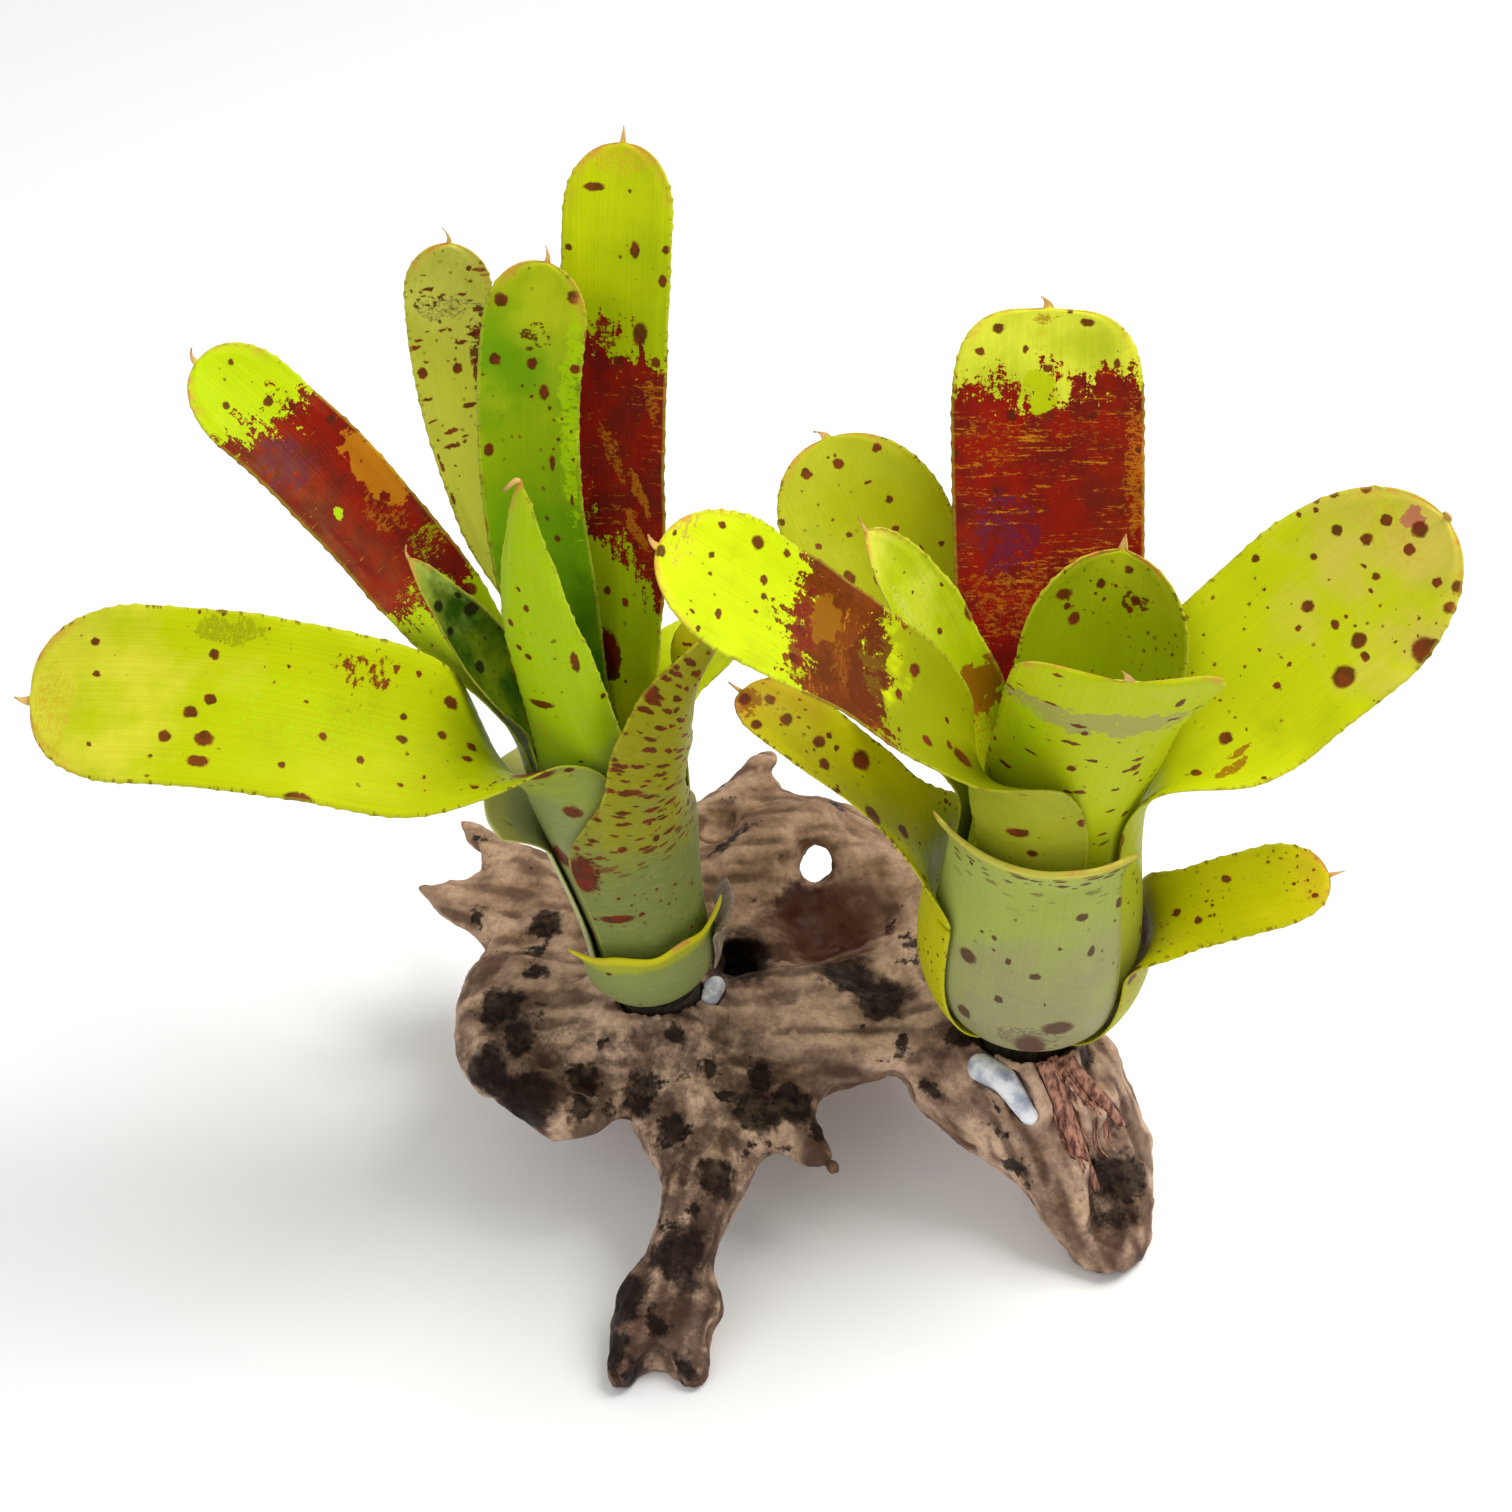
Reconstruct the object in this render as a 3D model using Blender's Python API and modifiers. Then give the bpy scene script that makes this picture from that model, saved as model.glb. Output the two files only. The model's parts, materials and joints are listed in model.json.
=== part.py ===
"""Two small neoregelia rosettes held by their roots on one piece of driftwood."""

import math

import bmesh
import bpy
from mathutils import Matrix, Vector

MM = 0.001

# Leaf stock, in millimetres
LEAF_THICKNESS = 0.9
SHEATH_PITCH = 1.35
FACET_ANGLE = 24.0
SEAT_GAP = 0.35

# Rows of points along a leaf, as bowl angles, tube fractions and blade fractions
BOWL_ANGLES = (0.0, 32.0, 62.0, 90.0)
TUBE_FRACTIONS = (0.35, 0.7, 1.0)
BLADE_FRACTIONS = (0.09, 0.2, 0.34, 0.5, 0.66, 0.79, 0.88, 0.94, 0.98, 1.0)

# Spine at the tip of a blade
SPINE_FRACTIONS = (0.5, 1.0)
SPINE_LENGTH = 3.0
SPINE_HALF_WIDTH = 0.8

# Plants: base point, direction of the axis, and the outline of the leaf tube
LEFT_PLANT = {
    "base": (-20.5, -12.0, 45.0),
    "axis": (-0.17, 0.0, 1.0),
    "stem_radius": 4.0,
    "belly_radius": 14.8,
    "belly_height": 14.0,
    "neck_radius": 20.0,
    "neck_height": 66.0,
}
RIGHT_PLANT = {
    "base": (55.0, -24.0, 45.0),
    "axis": (0.02, 0.0, 1.0),
    "stem_radius": 4.5,
    "belly_radius": 23.5,
    "belly_height": 25.0,
    "neck_radius": 21.0,
    "neck_height": 56.0,
}

# Driftwood limbs, as chains of balls: centre, radius and flatness
WOOD_LIMBS = [
    [((-8.0, -6.0, 30.0), 29.0, 0.38), ((30.0, -2.0, 32.0), 23.0, 0.40), ((58.0, -20.0, 32.0), 17.0, 0.62)],
    [((-8.0, -6.0, 30.0), 29.0, 0.38), ((-44.0, -8.0, 32.0), 22.0, 0.5)],
    [((-21.0, -13.0, 35.0), 16.0, 0.85)],
    [((55.0, -25.0, 36.0), 17.0, 0.82), ((66.0, -31.0, 30.0), 10.0, 0.8)],
    [((-49.0, -15.0, 31.0), 16.5, 0.58), ((-38.0, -30.0, 28.5), 10.0, 0.7)],
    [((-30.0, 12.0, 33.0), 20.0, 0.5), ((-58.0, 20.0, 37.0), 9.0, 0.6), ((-75.0, 25.0, 40.0), 1.5, 1.0)],
    [((-44.0, 22.0, 36.0), 12.0, 0.6), ((-66.0, 44.0, 43.0), 2.0, 1.0)],
    [((-12.0, -28.0, 28.0), 15.0, 0.6), ((-10.0, -50.0, 22.0), 8.5, 0.9), ((-16.0, -62.0, 14.0), 7.5, 1.0),
     ((-20.0, -72.0, 8.0), 9.5, 0.9)],
    [((-20.0, -72.0, 8.0), 9.5, 0.9), ((-25.0, -80.0, 2.5), 5.0, 1.0)],
    [((-18.0, -72.0, 8.0), 9.0, 0.9), ((-13.0, -79.0, 3.0), 5.5, 1.0)],
    [((-11.0, -69.0, 11.0), 6.0, 1.0)],
    [((2.0, -32.0, 28.0), 11.0, 0.55), ((18.0, -50.0, 26.0), 1.5, 1.0)],
    [((44.0, -25.0, 30.0), 13.0, 0.8), ((63.0, -36.0, 18.0), 12.0, 0.9), ((72.0, -48.0, 5.0), 8.5, 0.9)],
    [((66.0, -24.0, 30.0), 12.0, 0.8), ((75.0, -34.0, 16.0), 8.0, 1.0), ((76.0, -46.0, 5.0), 7.0, 1.0)],
    [((-20.0, 20.0, 32.0), 18.0, 0.5), ((-8.0, 42.0, 40.0), 12.0, 0.7), ((14.0, 44.0, 38.0), 10.0, 0.8),
     ((34.0, 26.0, 34.0), 13.0, 0.7), ((44.0, 4.0, 32.0), 14.0, 0.7)],
    [((10.0, 14.0, 30.0), 22.0, 0.42), ((14.0, 30.0, 34.0), 14.0, 0.6)],
    [((-8.0, 42.0, 40.0), 10.0, 0.7), ((3.0, 58.0, 49.0), 3.0, 1.0)],
    [((-10.0, 26.0, 42.0), 4.5, 1.0), ((14.0, 40.0, 47.0), 5.0, 1.0)],
    [((-32.0, 18.0, 30.0), 15.0, 0.7), ((-40.0, 28.0, 17.0), 9.5, 1.0), ((-50.0, 34.0, 4.0), 7.5, 0.9)],
    [((-40.0, 28.0, 17.0), 8.0, 1.0), ((-38.0, 42.0, 8.0), 5.5, 1.0)],
    [((30.0, 32.0, 32.0), 13.0, 0.7), ((36.0, 43.0, 18.0), 9.0, 1.0), ((44.0, 46.0, 4.0), 7.5, 0.9)],
    [((10.0, 44.0, 30.0), 8.0, 0.9), ((4.0, 52.0, 18.0), 4.0, 1.0)],
]

# Hollows cut into the wood, in the same form
WOOD_HOLLOWS = [
    [((14.0, 11.0, 47.0), 15.0, 0.95), ((24.0, 14.0, 45.0), 9.0, 0.9)],
    [((13.0, 20.0, 48.5), 5.4, 1.25), ((13.0, 56.0, 20.5), 5.4, 1.25)],
    [((-4.0, -1.0, 45.0), 6.0, 1.0), ((-4.0, 5.0, 32.0), 5.5, 1.2)],
    [((-9.0, 37.0, 49.0), 6.5, 1.0), ((-9.0, 42.0, 41.0), 5.0, 1.0)],
    [((24.0, -5.0, 43.5), 9.5, 0.75)],
    [((72.0, -43.5, 18.5), 5.2, 1.0), ((73.5, -48.5, 12.5), 6.4, 1.1)],
    [((65.5, -30.0, 37.5), 6.5, 1.0)],
    [((-19.5, -89.0, 4.0), 5.6, 1.8), ((-19.5, -79.0, 5.0), 4.0, 1.6)],
    [((-10.0, -4.0, 8.0), 26.0, 0.5), ((34.0, -2.0, 8.0), 24.0, 0.55)],
]

# Roots that run down the wood from the right plant, and beads of glue, as points
# seen from above with a radius. They are laid on the wood.
ROOT_PATHS = [
    [(55.0, -31.0, 2.0), (59.0, -37.0, 1.7), (65.0, -41.0, 1.5), (70.0, -43.0, 1.0)],
    [(59.0, -31.0, 2.0), (64.0, -35.0, 1.6), (70.0, -37.0, 1.4), (75.0, -36.0, 1.0)],
    [(55.5, -31.5, 2.2), (59.0, -38.0, 1.7), (65.0, -43.0, 1.2)],
]
RIGHT_GLUE = [(45.5, -34.5, 3.2), (50.0, -38.5, 2.8), (55.0, -42.0, 2.0)]
LEFT_GLUE = [(-8.5, -9.0, 2.4), (-10.0, -13.0, 2.6)]
ROOT_GRAIN = 0.8

# Heights and radii of a plant's stem, below and above the bottom of its leaves
STEM_FOOT = 8.0
STEM_CROWN = 8.5
STEM_TOP = 9.0

WOOD_GRAIN = 2.4
WOOD_KNOT_HEIGHT = 4.0
WOOD_FACE_SHARE = 0.25

# Leaves, from the outermost level inward. A leaf starts at a facet of the tube,
# counted from +X toward +Y, and spans a few facets. Points are in the shared frame.
LEFT_LEAVES = [
    dict(name="left_dried_bract", level=-1, first=-1, columns=2, skip=2, neck=15.0, rise=4.0, flare=3.4),
    dict(name="left_leaf_trimmed_base", level=0, first=-6, columns=6, neck=15.0, rise=6.0, flare=2.6),
    dict(name="left_leaf_folded_right", level=1, first=-5, columns=5, neck=44.0, half_width=12.0,
         waist=0.28, lead=24.0, shoulder=(-13.0, -30.0, 124.0), tip=(-4.5, -8.0, 138.0),
         facing=(-0.5, 0.7, 0.4), tip_facing=(-0.6, 0.1, 0.75), cup=38.0, tip_cup=55.0),
    dict(name="left_leaf_outer_sheath", level=2, first=5, columns=4, neck=44.0, rise=10.0, flare=9.0),
    dict(name="left_leaf_right_back", level=2, first=0, columns=4, neck=58.0, half_width=9.0,
         lead=12.0, shoulder=(-8.0, 8.0, 112.0), tip=(-5.0, 13.0, 119.0),
         facing=(-0.7, -0.6, 0.4), tip_facing=(-0.7, -0.6, 0.4), cup=40.0, tip_cup=30.0),
    dict(name="left_leaf_front_long", level=3, first=-7, columns=4, neck=60.0, half_width=17.0,
         lead=8.5, shoulder=(-86.0, -40.0, 144.5), tip=(-132.0, -33.0, 133.5), spine=(-1.0, 0.0, 0.3),
         waist=0.18,
         facing=(0.12, -0.6, 0.78), tip_facing=(0.0, -0.62, 0.78), cup=22.0, tip_cup=16.0),
    dict(name="left_leaf_banded_side", level=4, first=6, columns=3, neck=65.0, half_width=10.8,
         lead=13.0, shoulder=(-73.0, 13.0, 147.5), tip=(-105.0, 18.0, 174.5), spine=(-0.2, 0.1, 1.0),
         facing=(0.45, -0.68, 0.56), tip_facing=(0.35, -0.6, 0.72), cup=28.0, tip_cup=18.0),
    dict(name="left_leaf_tall_banded", level=6, first=0, columns=4, neck=62.0, half_width=10.9,
         lead=16.0, shoulder=(-27.5, 14.0, 165.0), tip=(-24.5, 36.0, 210.5),
         facing=(-0.3, -0.9, 0.3), tip_facing=(-0.2, -0.85, 0.5), cup=32.0, tip_cup=20.0),
    dict(name="left_leaf_front_curled", level=5, first=-6, columns=4, neck=62.0, half_width=11.0,
         waist=0.04, lead=12.0, shoulder=(-44.0, -32.0, 143.0), tip=(-41.5, -24.0, 174.5),
         tip_power=1.5, tip_zone=0.6,
         facing=(0.25, 0.9, 0.3), tip_facing=(0.4, 0.8, 0.3), cup=62.0, tip_cup=50.0,
         spine=(-1.0, -0.2, -0.5)),
    dict(name="left_leaf_narrow_back", level=5, first=3, columns=3, neck=64.0, half_width=8.6,
         lead=20.0, shoulder=(-65.0, 41.0, 146.5), tip=(-58.5, 40.0, 188.0), waist=0.4,
         facing=(0.2, -0.8, 0.5), tip_facing=(0.2, -0.8, 0.5), cup=28.0, tip_cup=18.0,
         spine=(-0.4, 0.2, 1.0)),
    dict(name="left_leaf_inner_left", level=6, first=7, columns=2, neck=64.0, half_width=8.5,
         lead=10.0, shoulder=(-53.5, -9.5, 129.0), tip=(-64.5, -9.0, 148.5), tip_power=1.6, tip_zone=0.6,
         facing=(0.6, -0.5, 0.55), tip_facing=(0.6, -0.5, 0.55), cup=55.0, tip_cup=45.0,
         spine=(-0.1, 0.1, 1.0)),
    dict(name="left_leaf_centre", level=7, first=3, columns=3, neck=66.0, half_width=9.9,
         lead=16.0, shoulder=(-48.5, 7.0, 160.0), tip=(-38.0, 17.0, 196.0), spine=(-0.1, 0.3, 1.0),
         facing=(0.05, -0.95, 0.25), tip_facing=(0.0, -0.85, 0.5), cup=34.0, tip_cup=22.0),
]
RIGHT_LEAVES = [
    dict(name="right_leaf_low_side", level=0, first=-2, columns=3, neck=26.0, half_width=8.8,
         lead=9.0, shoulder=(92.0, -32.0, 84.0), tip=(110.0, -32.0, 91.0),
         facing=(-0.3, -0.45, 0.85), tip_facing=(-0.2, -0.5, 0.85), cup=26.0, tip_cup=18.0),
    dict(name="right_leaf_low_left", level=0, first=5, columns=4, neck=36.0, half_width=9.5,
         lead=8.0, shoulder=(18.0, -22.0, 108.0), tip=(-3.0, -8.0, 117.0),
         facing=(0.6, -0.3, 0.74), tip_facing=(0.5, -0.4, 0.74), cup=40.0, tip_cup=30.0),
    dict(name="right_leaf_trimmed_front", level=1, first=-7, columns=5, neck=52.0, rise=7.0, flare=3.5),
    dict(name="right_leaf_wide_side", level=2, first=-2, columns=3, neck=58.0, half_width=20.3,
         lead=12.0, shoulder=(96.0, -14.0, 126.5), tip=(126.5, -10.0, 158.0), spine=(-0.4, -0.5, 0.8),
         facing=(-0.45, -0.6, 0.66), tip_facing=(-0.4, -0.65, 0.65), cup=26.0, tip_cup=18.0),
    dict(name="right_leaf_banded_left", level=2, first=-6, columns=3, neck=57.0, half_width=14.9,
         lead=20.0, spine=(-0.5, 0.0, 0.9), shoulder=(20.0, -45.0, 147.5), tip=(-17.0, -42.0, 173.0),
         facing=(0.6, -0.25, 0.75), tip_facing=(0.4, -0.4, 0.8), cup=32.0, tip_cup=24.0),
    dict(name="right_leaf_front_cup", level=3, first=-6, columns=5, neck=58.0, half_width=20.0,
         lead=14.0, shoulder=(61.0, -48.0, 134.0), tip=(64.0, -54.0, 153.0), tip_power=5.0, tip_zone=0.2,
         facing=(0.0, 0.9, 0.35), tip_facing=(0.0, 0.9, 0.35), cup=58.0, tip_cup=26.0,
         spine=(-0.5, 0.0, 0.9)),
    dict(name="right_leaf_back_round", level=3, first=4, columns=3, neck=52.0, half_width=17.5,
         lead=12.0, shoulder=(26.0, 14.0, 122.0), tip=(14.0, 36.0, 147.0), spine=(-1.0, 0.1, 0.5),
         facing=(0.15, -0.75, 0.62), tip_facing=(0.1, -0.7, 0.68), cup=26.0, tip_cup=18.0),
    dict(name="right_leaf_tall_banded", level=4, first=2, columns=3, neck=52.0, half_width=18.9,
         lead=16.0, shoulder=(55.5, 17.0, 138.0), tip=(56.5, 38.0, 175.0), tip_power=3.4,
         facing=(0.0, -0.9, 0.42), tip_facing=(0.0, -0.82, 0.56), cup=24.0, tip_cup=14.0,
         spine=(-0.6, 0.1, 0.9)),
    dict(name="right_leaf_inner_left", level=5, first=5, columns=3, neck=54.0, half_width=11.5,
         lead=12.0, shoulder=(34.0, -14.0, 128.3), tip=(20.0, -11.0, 155.8), tip_power=2.0, tip_zone=0.35,
         facing=(0.55, -0.42, 0.72), tip_facing=(0.5, -0.4, 0.75), cup=50.0, tip_cup=45.0),
    dict(name="right_leaf_centre", level=6, first=0, columns=5, neck=56.0, half_width=18.5,
         lead=12.0, shoulder=(66.0, -8.0, 126.0), tip=(69.0, -2.0, 146.0),
         facing=(-0.1, -0.9, 0.4), tip_facing=(-0.1, -0.9, 0.4), cup=55.0, tip_cup=50.0),
]


def smooth(t):
    """Ease from 0 to 1."""
    t = min(max(t, 0.0), 1.0)
    return t * t * (3.0 - 2.0 * t)


def plant_frame(plant):
    """Matrix that carries plant coordinates, in millimetres, into the shared frame."""
    up = Vector(plant["axis"]).normalized()
    side = (Vector((1.0, 0.0, 0.0)) - up * up.x).normalized()
    back = up.cross(side)
    turn = Matrix((side, back, up)).transposed().to_4x4()
    return Matrix.Translation(Vector(plant["base"])) @ turn


def tube_radius(plant, inset, height):
    """Radius of the leaf tube above the belly, at a height along the plant."""
    span = plant["neck_height"] - plant["belly_height"]
    t = smooth((height - plant["belly_height"]) / span)
    return plant["belly_radius"] - inset + (plant["neck_radius"] - plant["belly_radius"]) * t


def sheath_profile(plant, level, neck, skip=0):
    """Radius and height pairs from the stem, round the bowl and up to the neck."""
    inset = level * SHEATH_PITCH
    inner = plant["stem_radius"] + SEAT_GAP
    wide = plant["belly_radius"] - inset - inner
    tall = plant["belly_height"] - inset
    rows = []
    for angle in BOWL_ANGLES[skip:]:
        a = math.radians(angle)
        height = plant["belly_height"] - tall * math.cos(a)
        if height > neck:
            break
        rows.append((inner + wide * math.sin(a), height))
    for fraction in TUBE_FRACTIONS:
        height = plant["belly_height"] + (neck - plant["belly_height"]) * fraction
        if neck > plant["belly_height"]:
            rows.append((tube_radius(plant, inset, height), height))
    return rows


def leaf_edges(leaf):
    """First angle and the half angle wrapped by a leaf."""
    return leaf["first"] * FACET_ANGLE, leaf["columns"] * FACET_ANGLE / 2.0


def bezier(points, t):
    """Point on a cubic curve through four control points."""
    a, b, c, d = points
    u = 1.0 - t
    return a * u ** 3 + b * 3.0 * u * u * t + c * 3.0 * u * t * t + d * t ** 3


def bezier_slope(points, t):
    """Direction of the cubic curve."""
    a, b, c, d = points
    u = 1.0 - t
    slope = (b - a) * u * u + (c - b) * 2.0 * u * t + (d - c) * t * t
    return slope.normalized()


def mix(a, b, t):
    """Blend two vectors."""
    return a * (1.0 - t) + b * t


def blade_width(leaf, start, length, t):
    """Half width of a blade, from the neck to the rounded tip."""
    width = start + (leaf["half_width"] - start) * smooth(t / 0.46)
    width *= 1.0 - leaf.get("waist", 0.0) * math.sin(math.pi * min(1.0, t / 0.5)) ** 2
    zone = leaf.get("tip_zone", min(0.5, 0.95 * leaf["half_width"] / length))
    x = (t - (1.0 - zone)) / zone
    if x > 0.0:
        power = leaf.get("tip_power", 2.2)
        width *= max(0.06, (1.0 - min(x, 1.0) ** power) ** (1.0 / power))
    return width


def blade_row(plant, leaf, t, across, past=0.0):
    """One row of points across a blade, or across its spine where it lies past the tip."""
    frame = plant_frame(plant)
    first, half = leaf_edges(leaf)
    azimuth = math.radians(first + half)
    inset = leaf["level"] * SHEATH_PITCH
    radius = tube_radius(plant, inset, leaf["neck"])
    below = tube_radius(plant, inset, leaf["neck"] - 1.0)
    out = Vector((math.cos(azimuth), math.sin(azimuth), 0.0))
    turn = frame.to_3x3()
    start = frame @ (out * radius + Vector((0.0, 0.0, leaf["neck"])))
    rise = (turn @ (out * (radius - below) + Vector((0.0, 0.0, 1.0)))).normalized()
    points = [start, start + rise * leaf["lead"], Vector(leaf["shoulder"]), Vector(leaf["tip"])]
    length = sum((bezier(points, (k + 1) / 24.0) - bezier(points, k / 24.0)).length for k in range(24))
    along = bezier_slope(points, t)
    inward = turn @ -out
    face = mix(inward, Vector(leaf["facing"]).normalized(), smooth(t / 0.6))
    if t > 0.6:
        tip_face = Vector(leaf["tip_facing"]).normalized()
        face = mix(Vector(leaf["facing"]).normalized(), tip_face, smooth((t - 0.6) / 0.4))
    face = (face - along * face.dot(along)).normalized()
    side = face.cross(along)
    wrap = math.radians(half)
    cup = wrap + (math.radians(leaf["cup"]) - wrap) * smooth(t / 0.36)
    if t > 0.5:
        cup = math.radians(leaf["cup"] + (leaf["tip_cup"] - leaf["cup"]) * smooth((t - 0.5) / 0.5))
    width = blade_width(leaf, radius * wrap, length, t)
    centre = bezier(points, t)
    if past > 0.0:
        way = mix(along, Vector(leaf.get("spine", along)).normalized(), past)
        centre += way * SPINE_LENGTH * past
        width = SPINE_HALF_WIDTH * (1.0 - 0.6 * past)
    bend = width / cup
    row = []
    for v in across:
        a = v * cup
        row.append(centre + side * (bend * math.sin(a)) + face * (bend * (1.0 - math.cos(a))))
    return row


def trimmed_row(plant, leaf, t, angles):
    """One row across the short flared end of a trimmed leaf."""
    inset = leaf["level"] * SHEATH_PITCH
    height = leaf["neck"] + leaf["rise"] * t
    if leaf["neck"] < plant["belly_height"]:
        inner = plant["stem_radius"] + SEAT_GAP
        tall = plant["belly_height"] - inset
        c = min(1.0, (plant["belly_height"] - leaf["neck"]) / tall)
        radius = inner + (plant["belly_radius"] - inset - inner) * math.sqrt(1.0 - c * c)
    else:
        radius = tube_radius(plant, inset, leaf["neck"])
    radius += leaf["flare"] * t ** 1.5
    frame = plant_frame(plant)
    return [frame @ Vector((radius * math.cos(a), radius * math.sin(a), height)) for a in angles]


def leaf_rows(plant, leaf):
    """All the rows of points of a leaf, from the stem to the tip."""
    first, half = leaf_edges(leaf)
    columns = leaf["columns"]
    across = [2.0 * k / columns - 1.0 for k in range(columns + 1)]
    angles = [math.radians(first + half + v * half) for v in across]
    frame = plant_frame(plant)
    rows = []
    for radius, height in sheath_profile(plant, leaf["level"], leaf["neck"], leaf.get("skip", 0)):
        rows.append([frame @ Vector((radius * math.cos(a), radius * math.sin(a), height)) for a in angles])
    if "rise" in leaf:
        for t in (0.4, 1.0):
            rows.append(trimmed_row(plant, leaf, t, angles))
    else:
        for t in BLADE_FRACTIONS:
            rows.append(blade_row(plant, leaf, t, across))
        for past in SPINE_FRACTIONS:
            rows.append(blade_row(plant, leaf, 1.0, across, past))
    return rows


def plain_material(name, colour, roughness, specular=0.5):
    """Principled material with one colour."""
    material = bpy.data.materials.new(name)
    material.use_nodes = True
    shader = material.node_tree.nodes["Principled BSDF"]
    shader.inputs["Base Color"].default_value = (*colour, 1.0)
    shader.inputs["Roughness"].default_value = roughness
    shader.inputs["Metallic"].default_value = 0.0
    shader.inputs["Specular IOR Level"].default_value = specular
    material.diffuse_color = (*colour, 1.0)
    return material


def add_object(name, mesh, material, collection, parent):
    """Object in the collection, under the parent empty."""
    ob = bpy.data.objects.new(name, mesh)
    if material:
        mesh.materials.append(material)
    collection.objects.link(ob)
    ob.parent = parent
    return ob


def build_leaf(plant, leaf, material, collection, parent):
    """Leaf as a thin closed shell bent from a flat grid."""
    rows = leaf_rows(plant, leaf)
    columns = leaf["columns"]
    bm = bmesh.new()
    bmesh.ops.create_grid(bm, x_segments=columns, y_segments=len(rows) - 1, size=1.0)
    for vert in bm.verts:
        i = round((vert.co.x + 1.0) / 2.0 * columns)
        j = round((vert.co.y + 1.0) / 2.0 * (len(rows) - 1))
        vert.co = rows[j][i] * MM
    bmesh.ops.triangulate(bm, faces=bm.faces[:], quad_method="SHORT_EDGE")
    for face in bm.faces:
        face.smooth = True
    mesh = bpy.data.meshes.new(leaf["name"])
    bm.to_mesh(mesh)
    bm.free()
    ob = add_object(leaf["name"], mesh, material, collection, parent)
    skin = ob.modifiers.new("Leaf thickness", "SOLIDIFY")
    skin.thickness = LEAF_THICKNESS * MM
    skin.offset = -1.0
    return ob


def hull_mesh(bm, centres):
    """Closed hull round a few balls, each given as centre, radius and flatness."""
    for centre, radius, flat in centres:
        ball = bmesh.ops.create_icosphere(bm, subdivisions=2, radius=radius)
        for vert in ball["verts"]:
            vert.co.z *= flat
            vert.co += Vector(centre)
    bmesh.ops.delete(bm, geom=bm.edges[:] + bm.faces[:], context="EDGES_FACES")
    bmesh.ops.convex_hull(bm, input=bm.verts[:])
    inside = [vert for vert in bm.verts if not vert.link_faces]
    bmesh.ops.delete(bm, geom=inside, context="VERTS")


def limb_mesh(name, limbs):
    """Limbs of wood, each a chain of hulls between neighbouring balls."""
    whole = bpy.data.meshes.new(name)
    total = bmesh.new()
    for limb in limbs:
        pairs = list(zip(limb, limb[1:])) if len(limb) > 1 else [(limb[0],)]
        for pair in pairs:
            bm = bmesh.new()
            hull_mesh(bm, pair)
            bmesh.ops.recalc_face_normals(bm, faces=bm.faces[:])
            piece = bpy.data.meshes.new("piece")
            bm.to_mesh(piece)
            bm.free()
            total.from_mesh(piece)
            bpy.data.meshes.remove(piece)
    bmesh.ops.scale(total, vec=(MM, MM, MM), verts=total.verts[:])
    total.to_mesh(whole)
    total.free()
    return whole


def settle(ob):
    """Keep the shape that the modifiers give."""
    graph = bpy.context.evaluated_depsgraph_get()
    shape = bpy.data.meshes.new_from_object(ob.evaluated_get(graph))
    ob.modifiers.clear()
    ob.data = shape


def add_cutter(name, mesh, collection, parent):
    """Hidden cutting body."""
    ob = add_object(name, mesh, None, collection, parent)
    ob.hide_render = True
    ob.display_type = "WIRE"
    return ob


def cut(ob, cutter, solver="EXACT"):
    """Take one body out of another."""
    step = ob.modifiers.new(cutter.name, "BOOLEAN")
    step.operation = "DIFFERENCE"
    step.solver = solver
    step.object = cutter


def revolve_mesh(name, profile, plant, steps):
    """Solid of revolution about a plant's axis from radius and height pairs."""
    frame = plant_frame(plant)
    bm = bmesh.new()
    verts = [bm.verts.new((r * MM, 0.0, z * MM)) for r, z in profile]
    edges = [bm.edges.new(pair) for pair in zip(verts, verts[1:])]
    bmesh.ops.spin(bm, geom=verts + edges, axis=(0.0, 0.0, 1.0), cent=(0.0, 0.0, 0.0),
                   angle=math.tau, steps=steps, use_merge=True)
    bmesh.ops.remove_doubles(bm, verts=bm.verts[:], dist=0.00001)
    bmesh.ops.recalc_face_normals(bm, faces=bm.faces[:])
    turn = frame.to_3x3().to_4x4()
    turn.translation = frame.translation * MM
    bm.transform(turn)
    for face in bm.faces:
        face.smooth = True
    mesh = bpy.data.meshes.new(name)
    bm.to_mesh(mesh)
    bm.free()
    return mesh


def build_wood(material, collection, tools, parent):
    """Driftwood grown together from limbs, hollowed, roughened and thinned out."""
    ob = add_object("driftwood", limb_mesh("driftwood", WOOD_LIMBS), material, collection, parent)
    grow = ob.modifiers.new("Grow together", "REMESH")
    grow.mode = "VOXEL"
    grow.voxel_size = WOOD_GRAIN * MM
    settle(ob)
    hollows = add_cutter("wood_hollows", limb_mesh("wood_hollows", WOOD_HOLLOWS), tools, parent)
    fuse = hollows.modifiers.new("Grow together", "REMESH")
    fuse.mode = "VOXEL"
    fuse.voxel_size = WOOD_GRAIN * MM
    settle(hollows)
    cut(ob, hollows)
    settle(ob)
    again = ob.modifiers.new("Even mesh", "REMESH")
    again.mode = "VOXEL"
    again.voxel_size = WOOD_GRAIN * MM
    soften = ob.modifiers.new("Worn edges", "SMOOTH")
    soften.factor = 0.5
    soften.iterations = 5
    rough = bpy.data.textures.new("wood_knots", "CLOUDS")
    rough.noise_scale = 0.014
    rough.noise_depth = 1
    knots = ob.modifiers.new("Knots", "DISPLACE")
    knots.texture = rough
    knots.texture_coords = "LOCAL"
    knots.strength = WOOD_KNOT_HEIGHT * MM
    knots.mid_level = 0.5
    thin = ob.modifiers.new("Fewer faces", "DECIMATE")
    thin.ratio = WOOD_FACE_SHARE
    settle(ob)
    return ob


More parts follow.
